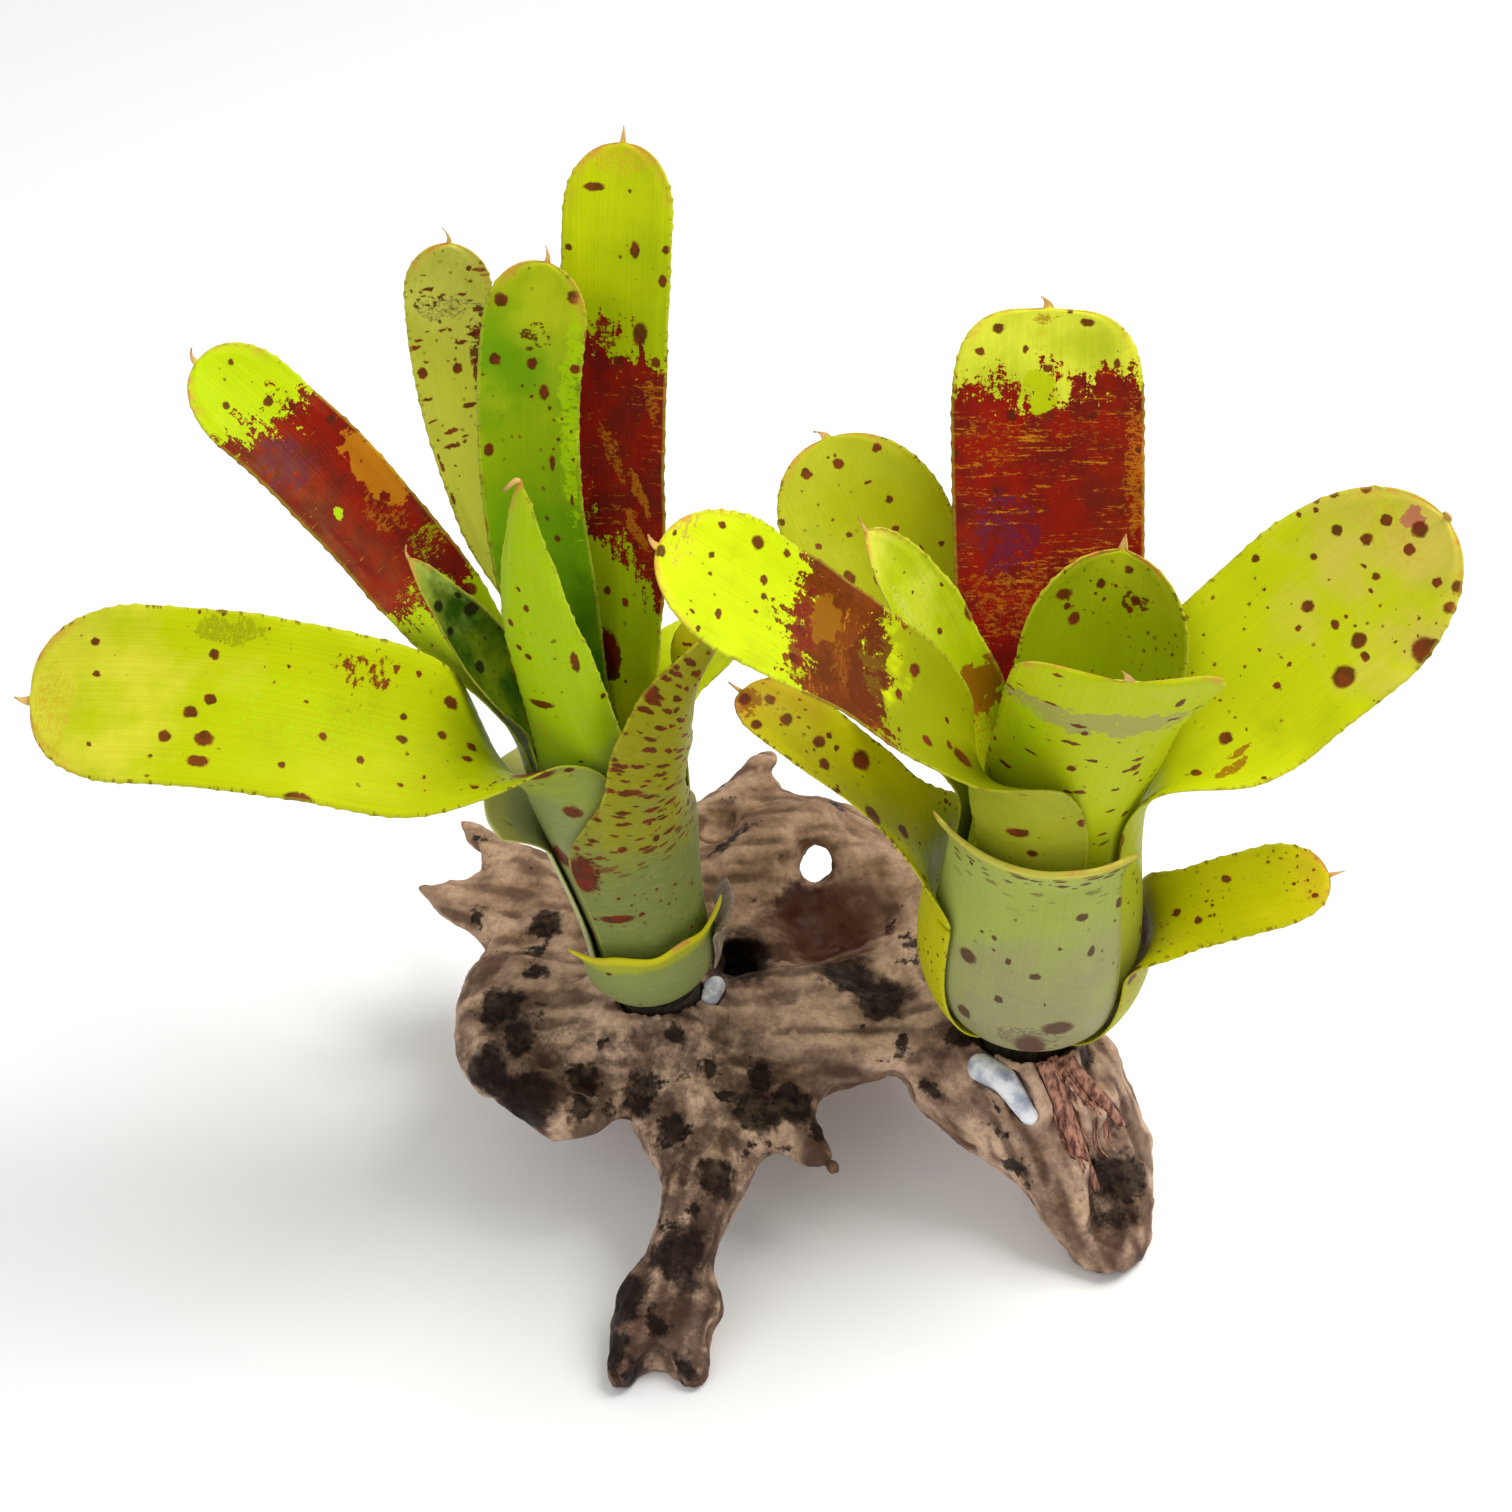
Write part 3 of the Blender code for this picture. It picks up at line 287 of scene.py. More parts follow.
# Looks of the leaves. Base, green and tip are the greens of the upper side, and rise is where
# base gives way to green, as shares of the blade. Under is the under side, and sheath the
# outside of the sheath, low and high. Places are in millimetres: along from the neck, across
# from the midrib. A band has its two ends along the leaf, each with how much it slopes
# across. Red is its two reds, and gold how much gold is in it. A patch is along, across, half
# length, half width, turn in degrees, pigment and how full it is. A mark is along, across,
# half length and half width. Ink is the colour of marks and spots, rim that of a cut end.
# Specks and dashes are shares of the places that could have one, and dots is the strength of
# the points along the margin.
LOOKS = {
    "left_leaf_front_long": dict(
        base=(150, 166, 4), green=(182, 192, 4), tip=(210, 206, 56), rise=(0.1, 0.55), dots=0.9,
        patches=[
            (44, -10.5, 8, 5, 10, "maroon", 0.4),
            (56, 0, 26, 8, 0, "lime", 0.4),
            (68.5, -13.5, 7, 3, 0, "olive", 0.6),
            (99, 3, 5, 12, 0, "tan", 0.45),
            (16, 8, 12, 4, 20, "maroon", 0.3),
            (30, 9, 5, 3, 0, "tan", 0.4),
        ],
        marks=[
            (74, 2.5, 1.4, 1.2), (78, 7.5, 1.2, 1.2), (71, 7.5, 1.8, 1.4), (71.5, 12, 2, 1.2),
            (50, 3.5, 0.8, 0.8), (42.5, 6.5, 0.8, 0.8), (35.5, 0.5, 1.2, 0.8), (28, -2.5, 1, 0.8),
            (22.5, 1, 1.2, 0.8), (21.5, -2.5, 1.2, 1), (12.5, 9, 3.2, 3.2), (27.5, -9.5, 1.6, 1.2),
            (35, -12.5, 0.6, 0.6), (34.5, 10, 0.8, 0.4), (53, 16.5, 2.4, 1), (-1, 3.5, 1.4, 2.2),
            (-16, -4.5, 2.8, 2.6), (-17, -9, 2.2, 1.4), (-40.5, -6, 3.4, 1.6),
        ],
    ),
    "left_leaf_banded_side": dict(
        base=(146, 162, 6), green=(178, 204, 4), tip=(188, 212, 10), band=(33.0, 0.0, 79.5, 0.2), gold=0.4,
        patches=[
            (71, 4, 7, 7, 0, "plum", 0.6),
            (59.5, -8, 9, 4, 0, "gold", 0.85),
            (52, -4, 6, 5, 0, "gold", 0.42),
            (57.5, 3.5, 1.5, 1.2, 0, "lime", 1),
            (43, -7, 5, 5, 0, "leaf", 0.4),
            (36, 2, 4, 8, 0, "leaf", 0.35),
            (80, -5, 3, 4, 0, "leaf", 0.45),
        ],
        marks=[
            (87, 3.5, 0.8, 0.8), (81.5, -3, 0.8, 1), (44, -11, 2, 0.4), (48, -10, 1.2, 1.2),
            (31, -8, 1.2, 1.2),
        ],
    ),
    "left_leaf_narrow_back": dict(
        base=(152, 150, 16), green=(182, 184, 58), tip=(200, 200, 80), specks=0.5, dashes=0.2, dots=0.5,
        patches=[
            (83, 0, 3, 8, 0, "smudge", 0.45),
            (72, -5.5, 14, 2.5, 0, "spot", 0.6),
            (84, 2.5, 1.5, 6, 0, "spot", 0.4),
            (20, 0, 12, 6, 0, "spot", 0.3),
        ],
        marks=[
            (53, 8, 1.2, 0.4), (46.5, 8, 1.2, 0.4), (55, 8, 0.8, 0.4),
        ],
    ),
    "left_leaf_centre": dict(
        base=(60, 108, 2), green=(106, 152, 8), tip=(166, 184, 26), rise=(0.2, 0.55), specks=0.3,
        patches=[
            (76, -0.5, 4, 4, 25, "spot", 0.36),
            (60, -8, 26, 2.2, 0, "lime", 0.6),
        ],
        marks=[
            (81.5, 7, 1.2, 1.4), (85, -6.5, 1.4, 1.2), (65.5, -3, 1.6, 1), (54.5, 8, 1.2, 1),
            (41, 10, 1.6, 0.4), (51.5, -4.5, 1.6, 0.6), (50, 10, 0.6, 0.4), (29, 10, 0.8, 0.4),
            (78, -10, 1.4, 0.4), (44, -8, 1.2, 0.4),
        ],
    ),
    # Painted light: the base (204, 208, 4) is lighter than the leaf's own colour, so that its low part,
    # shaded by the centre leaf, looks lit
    "left_leaf_tall_banded": dict(
        base=(204, 208, 4), green=(168, 188, 4), tip=(190, 204, 8), band=(34.0, 1.1, 74.0, 0.25), gold=0.43,
        patches=[
            (46, -5, 6, 1.6, 25, "gold", 0.6),
            (53, 1, 7, 1.8, 25, "gold", 0.5),
            (39, -4, 5, 1.6, 30, "gold", 0.6),
            (64, -8, 5, 1.6, 10, "gold", 0.5),
            (76, 3, 4, 3, 0, "maroon", 0.5),
            (13.5, 5, 6, 3.6, 0, "night", 1),
            (108, 0, 4, 8, 0, "tan", 0.5),
        ],
        marks=[
            (91.5, -3.5, 1.6, 1), (76, -5, 2.2, 1.6), (86, -9.5, 1.2, 0.8), (102.5, 5, 0.8, 2),
            (27, 6.5, 1, 0.8), (26.5, 3.5, 1, 0.8), (24.5, -0.5, 1, 0.8), (25.5, 9, 0.8, 0.6),
            (13.5, 5, 5.2, 3.2), (-6, 9.5, 0.8, 0.8),
        ],
    ),
    "left_leaf_front_curled": dict(
        base=(146, 160, 40), green=(166, 194, 8), tip=(188, 206, 60), under=(164, 194, 10),
        patches=[
            (55, 3, 8, 3, 0, "tan", 0.3),
            (15, -5, 4, 3, 0, "tan", 0.4),
        ],
        marks=[
            (45.5, 0, 0.8, 0.6), (32.5, -9.5, 1.8, 1.2), (27, -10, 2.4, 1.6), (34.5, -2, 0.8, 0.8),
            (49.5, -1, 0.6, 0.4), (41.5, -4.5, 0.8, 0.8), (23, -2.5, 1, 2.8), (32, 6.5, 2.4, 0.8),
        ],
    ),
    # Painted shade: the near-black base, green and ink of this leaf stand for the shade inside its hollow
    # upper side
    "left_leaf_inner_left": dict(
        base=(16, 40, 2), green=(22, 56, 2), tip=(150, 172, 70), ink=(16, 12, 8),
        patches=[
            (38.5, 1, 4, 6, 0, "leaf", 0.2),
        ],
        marks=[
            (32.5, -4, 1.2, 1.6), (32.5, 3.5, 0.8, 1.2), (37.5, 2, 1.2, 1.6), (23, 2.5, 1.2, 1.6),
        ],
    ),
    "left_leaf_folded_right": dict(
        base=(146, 150, 20), green=(152, 146, 8), tip=(188, 180, 12), under=(146, 140, 14),
        # Painted shade: the low sheath colour (78, 88, 6) is the shade inside the cup of the trimmed leaf
        # around it
        sheath=((78, 88, 6), (120, 128, 70)), dashes=0.7, specks=0.4,
        patches=[
            (0, -14, 6, 4, 0, "spot", 0.45),
        ],
        marks=[
            (37, -11, 1.2, 1.2), (43, -5, 0.8, 1.4), (40, -5, 0.4, 0.8), (19, -5.5, 0.8, 2.6),
            (11, -0.5, 0.8, 0.6), (6, 1, 1, 0.8), (5.5, -6, 0.8, 1), (-1, -14.5, 4.4, 3),
            (-13.5, -9.5, 1.2, 3.6), (14.5, -11, 1.6, 0.6),
        ],
    ),
    "left_leaf_right_back": dict(
        base=(170, 182, 8), green=(186, 200, 8), tip=(190, 190, 10),
        marks=[
            (-10.5, -11, 4, 1.6),
        ],
    ),
    "left_leaf_trimmed_base": dict(
        base=(150, 160, 60), green=(190, 196, 20), tip=(206, 200, 40), rim=(214, 206, 30),
    ),
    "left_leaf_outer_sheath": dict(
        base=(150, 158, 100), green=(170, 176, 120), tip=(190, 190, 130), under=(178, 182, 132),
        sheath=((164, 168, 126), (184, 188, 142)), rim=(200, 196, 110),
        patches=[
            (-12, 2, 8, 5, 0, "blush", 0.5),
            (-28, -5, 7, 4, 0, "blush", 0.5),
        ],
    ),
    "right_leaf_low_side": dict(
        base=(170, 160, 8), green=(188, 186, 4), tip=(206, 190, 20), specks=0.75, dots=0.9,
        patches=[
            (-3, 8.5, 4, 4, 0, "spot", 0.9),
            (36, 0, 3, 8, 0, "tan", 0.5),
        ],
        marks=[
            (20, 4.5, 1, 0.8), (9, 1, 0.8, 1), (13, -2.5, 0.8, 1), (-3, 8.5, 3.2, 2), (-23, 7.5, 0.8, 1.2),
            (1.5, -13, 1.8, 1.2),
        ],
    ),
    "right_leaf_low_left": dict(
        base=(190, 194, 4), green=(196, 190, 4), tip=(190, 160, 30), under=(194, 190, 4),
        sheath=((184, 176, 20), (192, 186, 6)), specks=0.6, dots=1.0,
        patches=[
            (53, 3, 3.5, 5, 0, "brown", 0.9),
        ],
        marks=[
            (28, -4, 2, 2.2), (37, -1, 1.2, 1.6), (49.5, -2, 1.2, 1.2), (44.5, -0.5, 1.2, 1.6),
            (22, 7.5, 2, 2.6), (13.5, 3, 1.6, 1.6), (34, 3.5, 1.2, 1.8), (16.5, 9.5, 0.8, 0.4),
            (33.5, -2.5, 0.6, 0.8), (30, 9, 0.6, 1), (23, 9.5, 0.4, 0.4), (53, 2, 1.2, 2),
            (48, 6.5, 1, 1.6),
        ],
    ),
    "right_leaf_wide_side": dict(
        base=(186, 196, 4), green=(190, 198, 10), tip=(206, 190, 76), specks=0.2,
        patches=[
            (75, 4, 2.5, 2.2, 0, "blush", 0.95),
            (22.5, -9.5, 3, 1.2, 0, "brown", 0.7),
            (19, -13, 4, 1.6, 20, "brown", 0.7),
            (70, 6, 5, 12, 0, "tan", 0.4),
        ],
        marks=[
            (67, 17, 0.8, 0.8), (59.5, 18.5, 0.4, 0.6), (62.5, 17, 0.4, 0.6), (63, 11.5, 1, 1.2),
            (66, 6.5, 1.2, 1.2), (62.5, 3, 0.4, 0.6), (63, 0, 0.8, 0.8), (60.5, -1.5, 0.4, 0.6),
            (50, 4, 1.2, 1.2), (51.5, -2, 0.8, 1), (46, 2, 0.6, 0.6), (53, -7.5, 1.6, 1.6),
            (52, -11, 0.8, 1.2), (46.5, -11.5, 2.4, 2.4), (61.5, -18, 2.6, 2.8), (70, -14.5, 1.2, 1.2),
            (73.5, -12, 1.2, 1.2), (74.5, 1.5, 1.6, 1.6), (48.5, 17.5, 0.8, 0.8), (72, 14, 1.2, 1),
            (48.5, -20.5, 0.4, 0.4), (13.5, -9, 0.8, 1.6), (40.5, -2, 0.4, 0.4), (22, -5, 1.4, 1.4),
            (-1.5, -11.5, 1.8, 0.4), (1, -11.5, 0.4, 0.4),
        ],
    ),
    "right_leaf_banded_left": dict(
        base=(140, 146, 4), green=(192, 212, 4), tip=(208, 226, 14), rise=(0.6, 0.72),
        band=(54.0, -0.2, 72.5, -0.22), red=((92, 34, 6), (122, 52, 8)), gold=0.4,
        patches=[
            (56, 1, 5, 14, 0, "dark", 0.75),
            (67, -5, 4, 5.5, 0, "brown", 0.85),
            (62, 2, 3, 7, 0, "brown", 0.45),
            (71, 2, 3, 12, 0, "maroon", 0.6),
            (97, -4, 4, 8, 0, "blush", 0.4),
        ],
        marks=[
            (84.5, -11, 1.2, 1.2), (78.5, -12.5, 0.8, 0.8), (80.5, -5.5, 0.8, 1), (79.5, -2.5, 0.6, 0.8),
            (80, 1.5, 0.4, 0.4), (86.5, 6.5, 0.6, 1.2), (99, -4, 0.4, 0.6), (100, 1, 1, 1.4),
            (89.5, 12.5, 0.4, 0.8), (46.5, -7.5, 1.2, 1.4), (48.5, -0.5, 0.8, 1.2), (48, 8.5, 0.4, 0.8),
            (41, 6, 1.2, 1.4), (35, 2, 0.8, 1.2), (31.5, 3, 2.4, 2.4), (51, 15, 0.8, 0.4),
            (7.5, -1, 1.2, 2.4), (2.5, 1, 0.8, 1),
        ],
    ),
    "right_leaf_front_cup": dict(
        base=(150, 160, 20), green=(180, 196, 16), tip=(206, 208, 70), under=(182, 194, 4), dashes=0.1,
        patches=[
            # Painted shade: the two grey patches are the dark band just under the rim
            (39, -2, 4, 22, 0, "shade_grey", 0.75),
            (34, 6, 6, 12, 0, "shade_grey", 0.35),
            (30, -14, 12, 6, 0, "lime", 0.5),
            (14, 4, 8, 10, 0, "leaf", 0.4),
        ],
        marks=[
            (45, 11.5, 1.2, 0.8), (18.5, -0.5, 0.6, 1.2), (25, -3.5, 0.8, 0.8), (7.5, -2, 0.6, 1.2),
            (24, 9, 1, 1.2), (11, 18.5, 3, 1.8), (20, 20, 1.2, 0.4),
        ],
    ),
    "right_leaf_back_round": dict(
        base=(150, 158, 6), green=(168, 172, 8), tip=(180, 184, 36), dots=1.0, specks=0.3,
        marks=[
            (60, -7, 0.8, 0.8), (63.5, 15.5, 0.8, 0.6), (65, -4.5, 0.4, 0.8), (54, -5.5, 0.8, 0.8),
            (48.5, 7.5, 1.6, 1.2), (45.5, 2, 1.6, 1.2), (48, -8.5, 0.6, 0.4), (56.5, 3.5, 0.6, 0.6),
            (47, -12.5, 0.6, 0.6),
        ],
    ),
    "right_leaf_tall_banded": dict(
        base=(150, 110, 20), green=(176, 188, 30), tip=(212, 216, 58),
        band=(8.0, 0.0, 77.0, -0.05), gold=0.44,
        patches=[
            (75.5, 1.5, 4.5, 3.5, 0, "leaf", 0.9),
            (35, 6, 10, 16, 0, "gold", 0.4),
            (66, 11, 8, 8, 0, "gold", 0.36),
            (60, -17, 16, 2.2, 0, "gold", 0.5),
            (68, -2, 5, 14, 0, "gold", 0.3),
            (48, 8, 10, 8, 0, "plum", 0.5),
            (86, 2, 3, 5, 0, "tan", 0.35),
            (90, 0, 1.5, 3, 0, "brown", 0.5),
        ],
        marks=[
            (87.5, 10, 1, 1.2), (83, 13.5, 0.8, 1), (83.5, 4.5, 0.8, 0.6), (88, -14.5, 0.4, 0.4),
            (81, -13.5, 1, 0.6), (80, -16, 0.6, 0.6), (80, 0, 0.8, 1), (89, -7.5, 0.8, 1.4),
        ],
    ),
    "right_leaf_inner_left": dict(
        base=(150, 168, 10), green=(178, 194, 8), tip=(214, 218, 70), specks=0.25,
        patches=[
            (21.5, -6, 6, 7, 0, "brown", 0.8),
            (14, -2, 8, 8, 0, "gold", 0.45),
            (44, 3, 10, 4, 0, "pale", 0.4),
        ],
        marks=[
            (35.5, -11.5, 1.8, 1.2), (43.5, -9, 0.4, 0.4), (25.5, -11.5, 1, 0.4),
        ],
    ),
    "right_leaf_centre": dict(
        base=(104, 130, 4), green=(150, 164, 4), tip=(162, 170, 20), dots=1.0, specks=0.5,
        patches=[
            (38, -4.5, 3.5, 3.5, 0, "spot", 0.45),
        ],
        marks=[
            (43.5, -2, 0.8, 1), (40, 3, 1, 1), (37.5, 10.5, 1.2, 2), (35, 9, 0.8, 0.8),
            (32.5, 7, 1.4, 1.2), (21.5, 14.5, 0.8, 1.6), (20.5, 10, 0.8, 0.8), (38, -4.5, 1, 1),
        ],
    ),
    "right_leaf_trimmed_front": dict(
        base=(168, 180, 30), green=(176, 186, 30), tip=(208, 200, 70), under=(164, 174, 84),
        sheath=((140, 134, 98), (154, 152, 108)), ink=(88, 58, 48), dashes=0.55, rim=(212, 200, 80),
        patches=[
            (-38, 4, 5, 8, 0, "smudge", 0.5),
        ],
        marks=[
            (-20, -9.5, 1.6, 2), (-23.5, -18.5, 2, 1.6), (-26, -23, 2.2, 1.4), (-6.5, 12, 1, 1.2),
            (-15, 15, 1.2, 0.8), (-20, 4.5, 0.8, 1.2), (-13, -7, 0.4, 0.4), (-17.5, -1, 0.8, 0.6),
            (-36, -21.5, 2.2, 1.6), (-35.5, -9.5, 2, 1.6), (-34, 10, 2.2, 3.2), (-42, 4.5, 5.6, 3),
        ],
    ),
}


def smooth(t):
    """Ease from 0 to 1."""
    t = min(max(t, 0.0), 1.0)
    return t * t * (3.0 - 2.0 * t)


def mix(a, b, t):
    """Blend two values or vectors."""
    return a * (1.0 - t) + b * t


def plant_frame(plant):
    """Matrix that carries plant coordinates, in millimetres, into the plants' own frame."""
    up = Vector(plant["axis"]).normalized()
    side = (Vector((1.0, 0.0, 0.0)) - up * up.x).normalized()
    back = up.cross(side)
    turn = Matrix((side, back, up)).transposed().to_4x4()
    return Matrix.Translation(Vector(plant["base"])) @ turn


def tube_radius(plant, inset, height):
    """Radius of the leaf tube above the belly, at a height along the plant."""
    span = plant["neck_height"] - plant["belly_height"]
    t = smooth((height - plant["belly_height"]) / span)
    return plant["belly_radius"] - inset + (plant["neck_radius"] - plant["belly_radius"]) * t


def sheath_profile(plant, leaf):
    """Radius and height pairs from the stem, round the bowl and up to the neck."""
    inset = leaf["level"] * SHEATH_PITCH
    inner = plant["stem_radius"] + SEAT_GAP
    wide = plant["belly_radius"] - inset - inner
    tall = plant["belly_height"] - inset
    lowest = BOWL_STARTS[leaf.get("skip", 0)]
    rows = []
    for k in range(BOWL_ROWS + 1):
        a = math.radians(lowest + (90.0 - lowest) * k / BOWL_ROWS)
        height = plant["belly_height"] - tall * math.cos(a)
        if height > leaf["neck"]:
            break
        rows.append((inner + wide * math.sin(a), height))
    rise = leaf["neck"] - plant["belly_height"]
    if rise > 0.0:
        count = max(2, round(rise / NECK_STEP))
        for k in range(1, count + 1):
            height = plant["belly_height"] + rise * k / count
            rows.append((tube_radius(plant, inset, height), height))
    return rows


def wrap_angles(leaf):
    """Angles across a leaf where it wraps the plant."""
    start = leaf["first"] * FACET_ANGLE
    span = leaf["columns"] * FACET_ANGLE
    return [math.radians(start + span * k / LEAF_COLUMNS) for k in range(LEAF_COLUMNS + 1)]


def bezier(points, t):
    """Point on a cubic curve through four control points."""
    a, b, c, d = points
    u = 1.0 - t
    return a * u ** 3 + b * 3.0 * u * u * t + c * 3.0 * u * t * t + d * t ** 3


def bezier_slope(points, t):
    """Direction of the cubic curve."""
    a, b, c, d = points
    u = 1.0 - t
    return ((b - a) * u * u + (c - b) * 2.0 * u * t + (d - c) * t * t).normalized()


class Row:
    """One row of points across a leaf, with where it lies along the leaf."""

    def __init__(self, points, along, share, width):
        self.points = points
        self.along = along
        self.share = share
        self.width = width


def sheath_rows(plant, leaf):
    """Rows of the part of a leaf that wraps the plant, from the stem up."""
    frame = plant_frame(plant)
    angles = wrap_angles(leaf)
    half = leaf["columns"] * math.radians(FACET_ANGLE) / 2.0
    profile = sheath_profile(plant, leaf)
    length = sum(math.dist(a, b) for a, b in zip(profile, profile[1:]))
    rows = []
    gone = 0.0
    for k, (radius, height) in enumerate(profile):
        if k:
            gone += math.dist(profile[k - 1], profile[k])
        points = [frame @ Vector((radius * math.cos(a), radius * math.sin(a), height)) for a in angles]
        rows.append(Row(points, gone - length, gone / length - 1.0, radius * half))
    return rows


def trimmed_rows(plant, leaf):
    """Rows of the short flared end of a leaf that was cut off."""
    frame = plant_frame(plant)
    angles = wrap_angles(leaf)
    half = leaf["columns"] * math.radians(FACET_ANGLE) / 2.0
    inset = leaf["level"] * SHEATH_PITCH
    if leaf["neck"] < plant["belly_height"]:
        inner = plant["stem_radius"] + SEAT_GAP
        low = min(1.0, (plant["belly_height"] - leaf["neck"]) / (plant["belly_height"] - inset))
        start = inner + (plant["belly_radius"] - inset - inner) * math.sqrt(1.0 - low * low)
    else:
        start = tube_radius(plant, inset, leaf["neck"])
    count = max(5, round(math.hypot(leaf["rise"], leaf["flare"]) / TRIM_STEP))
    rows = []
    for k in range(1, count + 1):
        t = k / count
        radius = start + leaf["flare"] * t ** 1.5
        points = []
        for a in angles:
            ragged = noise.noise(Vector((math.cos(a) * 2.2, math.sin(a) * 2.2, leaf["level"] * 3.1)))
            height = leaf["neck"] + leaf["rise"] * t * (1.0 + RAGGED_RIM * ragged)
            points.append(frame @ Vector((radius * math.cos(a), radius * math.sin(a), height)))
        rows.append(Row(points, leaf["rise"] * t, t, radius * half))
    return rows


def blade_width(leaf, start, length, t):
    """Half width of a blade, from the neck to the rounded tip."""
    width = start + (leaf["half_width"] - start) * smooth(t / 0.46)
    width *= 1.0 - leaf.get("waist", 0.0) * math.sin(math.pi * min(1.0, t / 0.5)) ** 2
    zone = leaf.get("tip_zone", min(0.5, 0.95 * leaf["half_width"] / length))
    x = (t - (1.0 - zone)) / zone
    if x > 0.0:
        power = leaf.get("tip_power", 2.2)
        width *= max(0.06, (1.0 - min(x, 1.0) ** power) ** (1.0 / power))
    return width


def blade_rows(plant, leaf, draw):
    """Rows of a strap blade: a curved channel with toothed margins and a spine at its tip."""
    frame = plant_frame(plant)
    turn = frame.to_3x3()
    half = leaf["columns"] * FACET_ANGLE / 2.0
    wrap = math.radians(half)
    azimuth = math.radians(leaf["first"] * FACET_ANGLE + half)
    inset = leaf["level"] * SHEATH_PITCH
    radius = tube_radius(plant, inset, leaf["neck"])
    below = tube_radius(plant, inset, leaf["neck"] - 1.0)
    out = Vector((math.cos(azimuth), math.sin(azimuth), 0.0))
    start = frame @ (out * radius + Vector((0.0, 0.0, leaf["neck"])))
    rise = (turn @ (out * (radius - below) + Vector((0.0, 0.0, 1.0)))).normalized()
    curve = [start, start + rise * leaf["lead"], Vector(leaf["shoulder"]), Vector(leaf["tip"])]
    length = sum((bezier(curve, (k + 1) / 24.0) - bezier(curve, k / 24.0)).length for k in range(24))
    inward = turn @ -out
    facing = Vector(leaf["facing"]).normalized()
    tip_facing = Vector(leaf["tip_facing"]).normalized()
    across = [2.0 * k / LEAF_COLUMNS - 1.0 for k in range(LEAF_COLUMNS + 1)]
    count = round(length / ROW_STEP)
    rows = []
    gone = 0.0
    last = start
    for k in range(1, count + SPINE_ROWS + 1):
        t = 1.0 - (1.0 - min(1.0, k / count)) ** 1.3
        past = max(0.0, (k - count) / SPINE_ROWS)
        along = bezier_slope(curve, t)
        face = mix(inward, facing, smooth(t / 0.6))
        if t > 0.6:
            face = mix(facing, tip_facing, smooth((t - 0.6) / 0.4))
        face = (face - along * face.dot(along)).normalized()
        side = face.cross(along)
        cup = wrap + (math.radians(leaf["cup"]) - wrap) * smooth(t / 0.36)
        if t > 0.5:
            cup = math.radians(leaf["cup"] + (leaf["tip_cup"] - leaf["cup"]) * smooth((t - 0.5) / 0.5))
        width = blade_width(leaf, radius * wrap, length, t)
        centre = bezier(curve, t)
        if past:
            way = mix(along, Vector(leaf.get("spine", along)).normalized(), past)
            centre = centre + way * SPINE_LENGTH * past
            width = max(0.12, width * (1.0 - past) ** 0.8)
        bend = width / cup
        gone += (centre - last).length
        last = centre
        points = []
        for n, v in enumerate(across):
            a = v * cup
            point = centre + side * (bend * math.sin(a)) + face * (bend * (1.0 - math.cos(a)))
            swell = smooth(t / 0.25) * smooth((1.0 - t) / 0.1)
            if swell:
                wave = noise.noise(Vector((v * width * 0.05, gone * 0.035, leaf["level"] + start.x)))
                ripple = noise.noise(Vector((v * 2.0, gone * 0.11, start.x + 7.0))) * abs(v) ** 3
                point += face * (swell * (WAVE_HEIGHT * wave + RIPPLE_HEIGHT * ripple))
            points.append(point)
        if not past and k % TOOTH_ROWS == 0 and 0.12 < t < 0.97:
            for n, way in ((0, -1.0), (LEAF_COLUMNS, 1.0)):
                size = draw.uniform(*TOOTH_SIZES) * smooth((1.0 - t) / 0.05)
                points[n] = points[n] + side * (way * size) + along * (size * 0.6)
        rows.append(Row(points, gone, t + past * 0.02, width))
    return rows


def new_object(name, data):
    """Object of the scene that shows a mesh, a curve, a lamp or a camera."""
    ob = bpy.data.objects.new(name, data)
    bpy.context.scene.collection.objects.link(ob)
    return ob


def object_from(bm, name):
    """Object that shows the mesh which was worked on."""
    mesh = bpy.data.meshes.new(name)
    bm.to_mesh(mesh)
    bm.free()
    return new_object(name, mesh)


def build_leaf(plant, leaf, material):
    """Leaf as a thin closed shell with its place along and across kept on every point."""
    draw = random.Random(leaf["name"])
    rows = sheath_rows(plant, leaf)
    rows += trimmed_rows(plant, leaf) if "rise" in leaf else blade_rows(plant, leaf, draw)
    bm = bmesh.new()
    bmesh.ops.create_grid(bm, x_segments=LEAF_COLUMNS, y_segments=len(rows) - 1, size=1.0)
    places = []
    for vert in bm.verts:
        i = round((vert.co.x + 1.0) / 2.0 * LEAF_COLUMNS)
        j = round((vert.co.y + 1.0) / 2.0 * (len(rows) - 1))
        row = rows[j]
        vert.co = (row.points[i] + MIDDLE) * MM
        across = (2.0 * i / LEAF_COLUMNS - 1.0) * row.width
        places.append((across, row.along, row.share, row.width - abs(across)))
    for face in bm.faces:
        face.smooth = True
    ob = object_from(bm, "fine_" + leaf["name"])
    body = ob.vertex_groups.new(name="leaf body")
    for k, place in enumerate(places):
        body.add([k], smooth(place[3] / MARGIN_WIDTH), "REPLACE")
    skin = ob.modifiers.new("Leaf thickness", "SOLIDIFY")
    skin.thickness = LEAF_THICKNESS * MM
    skin.offset = -1.0
    skin.vertex_group = body.name
    skin.thickness_vertex_group = MARGIN_SHARE
    settle(ob)
    note_places(ob.data, places)
    finish_piece(ob, material, leaf["name"])


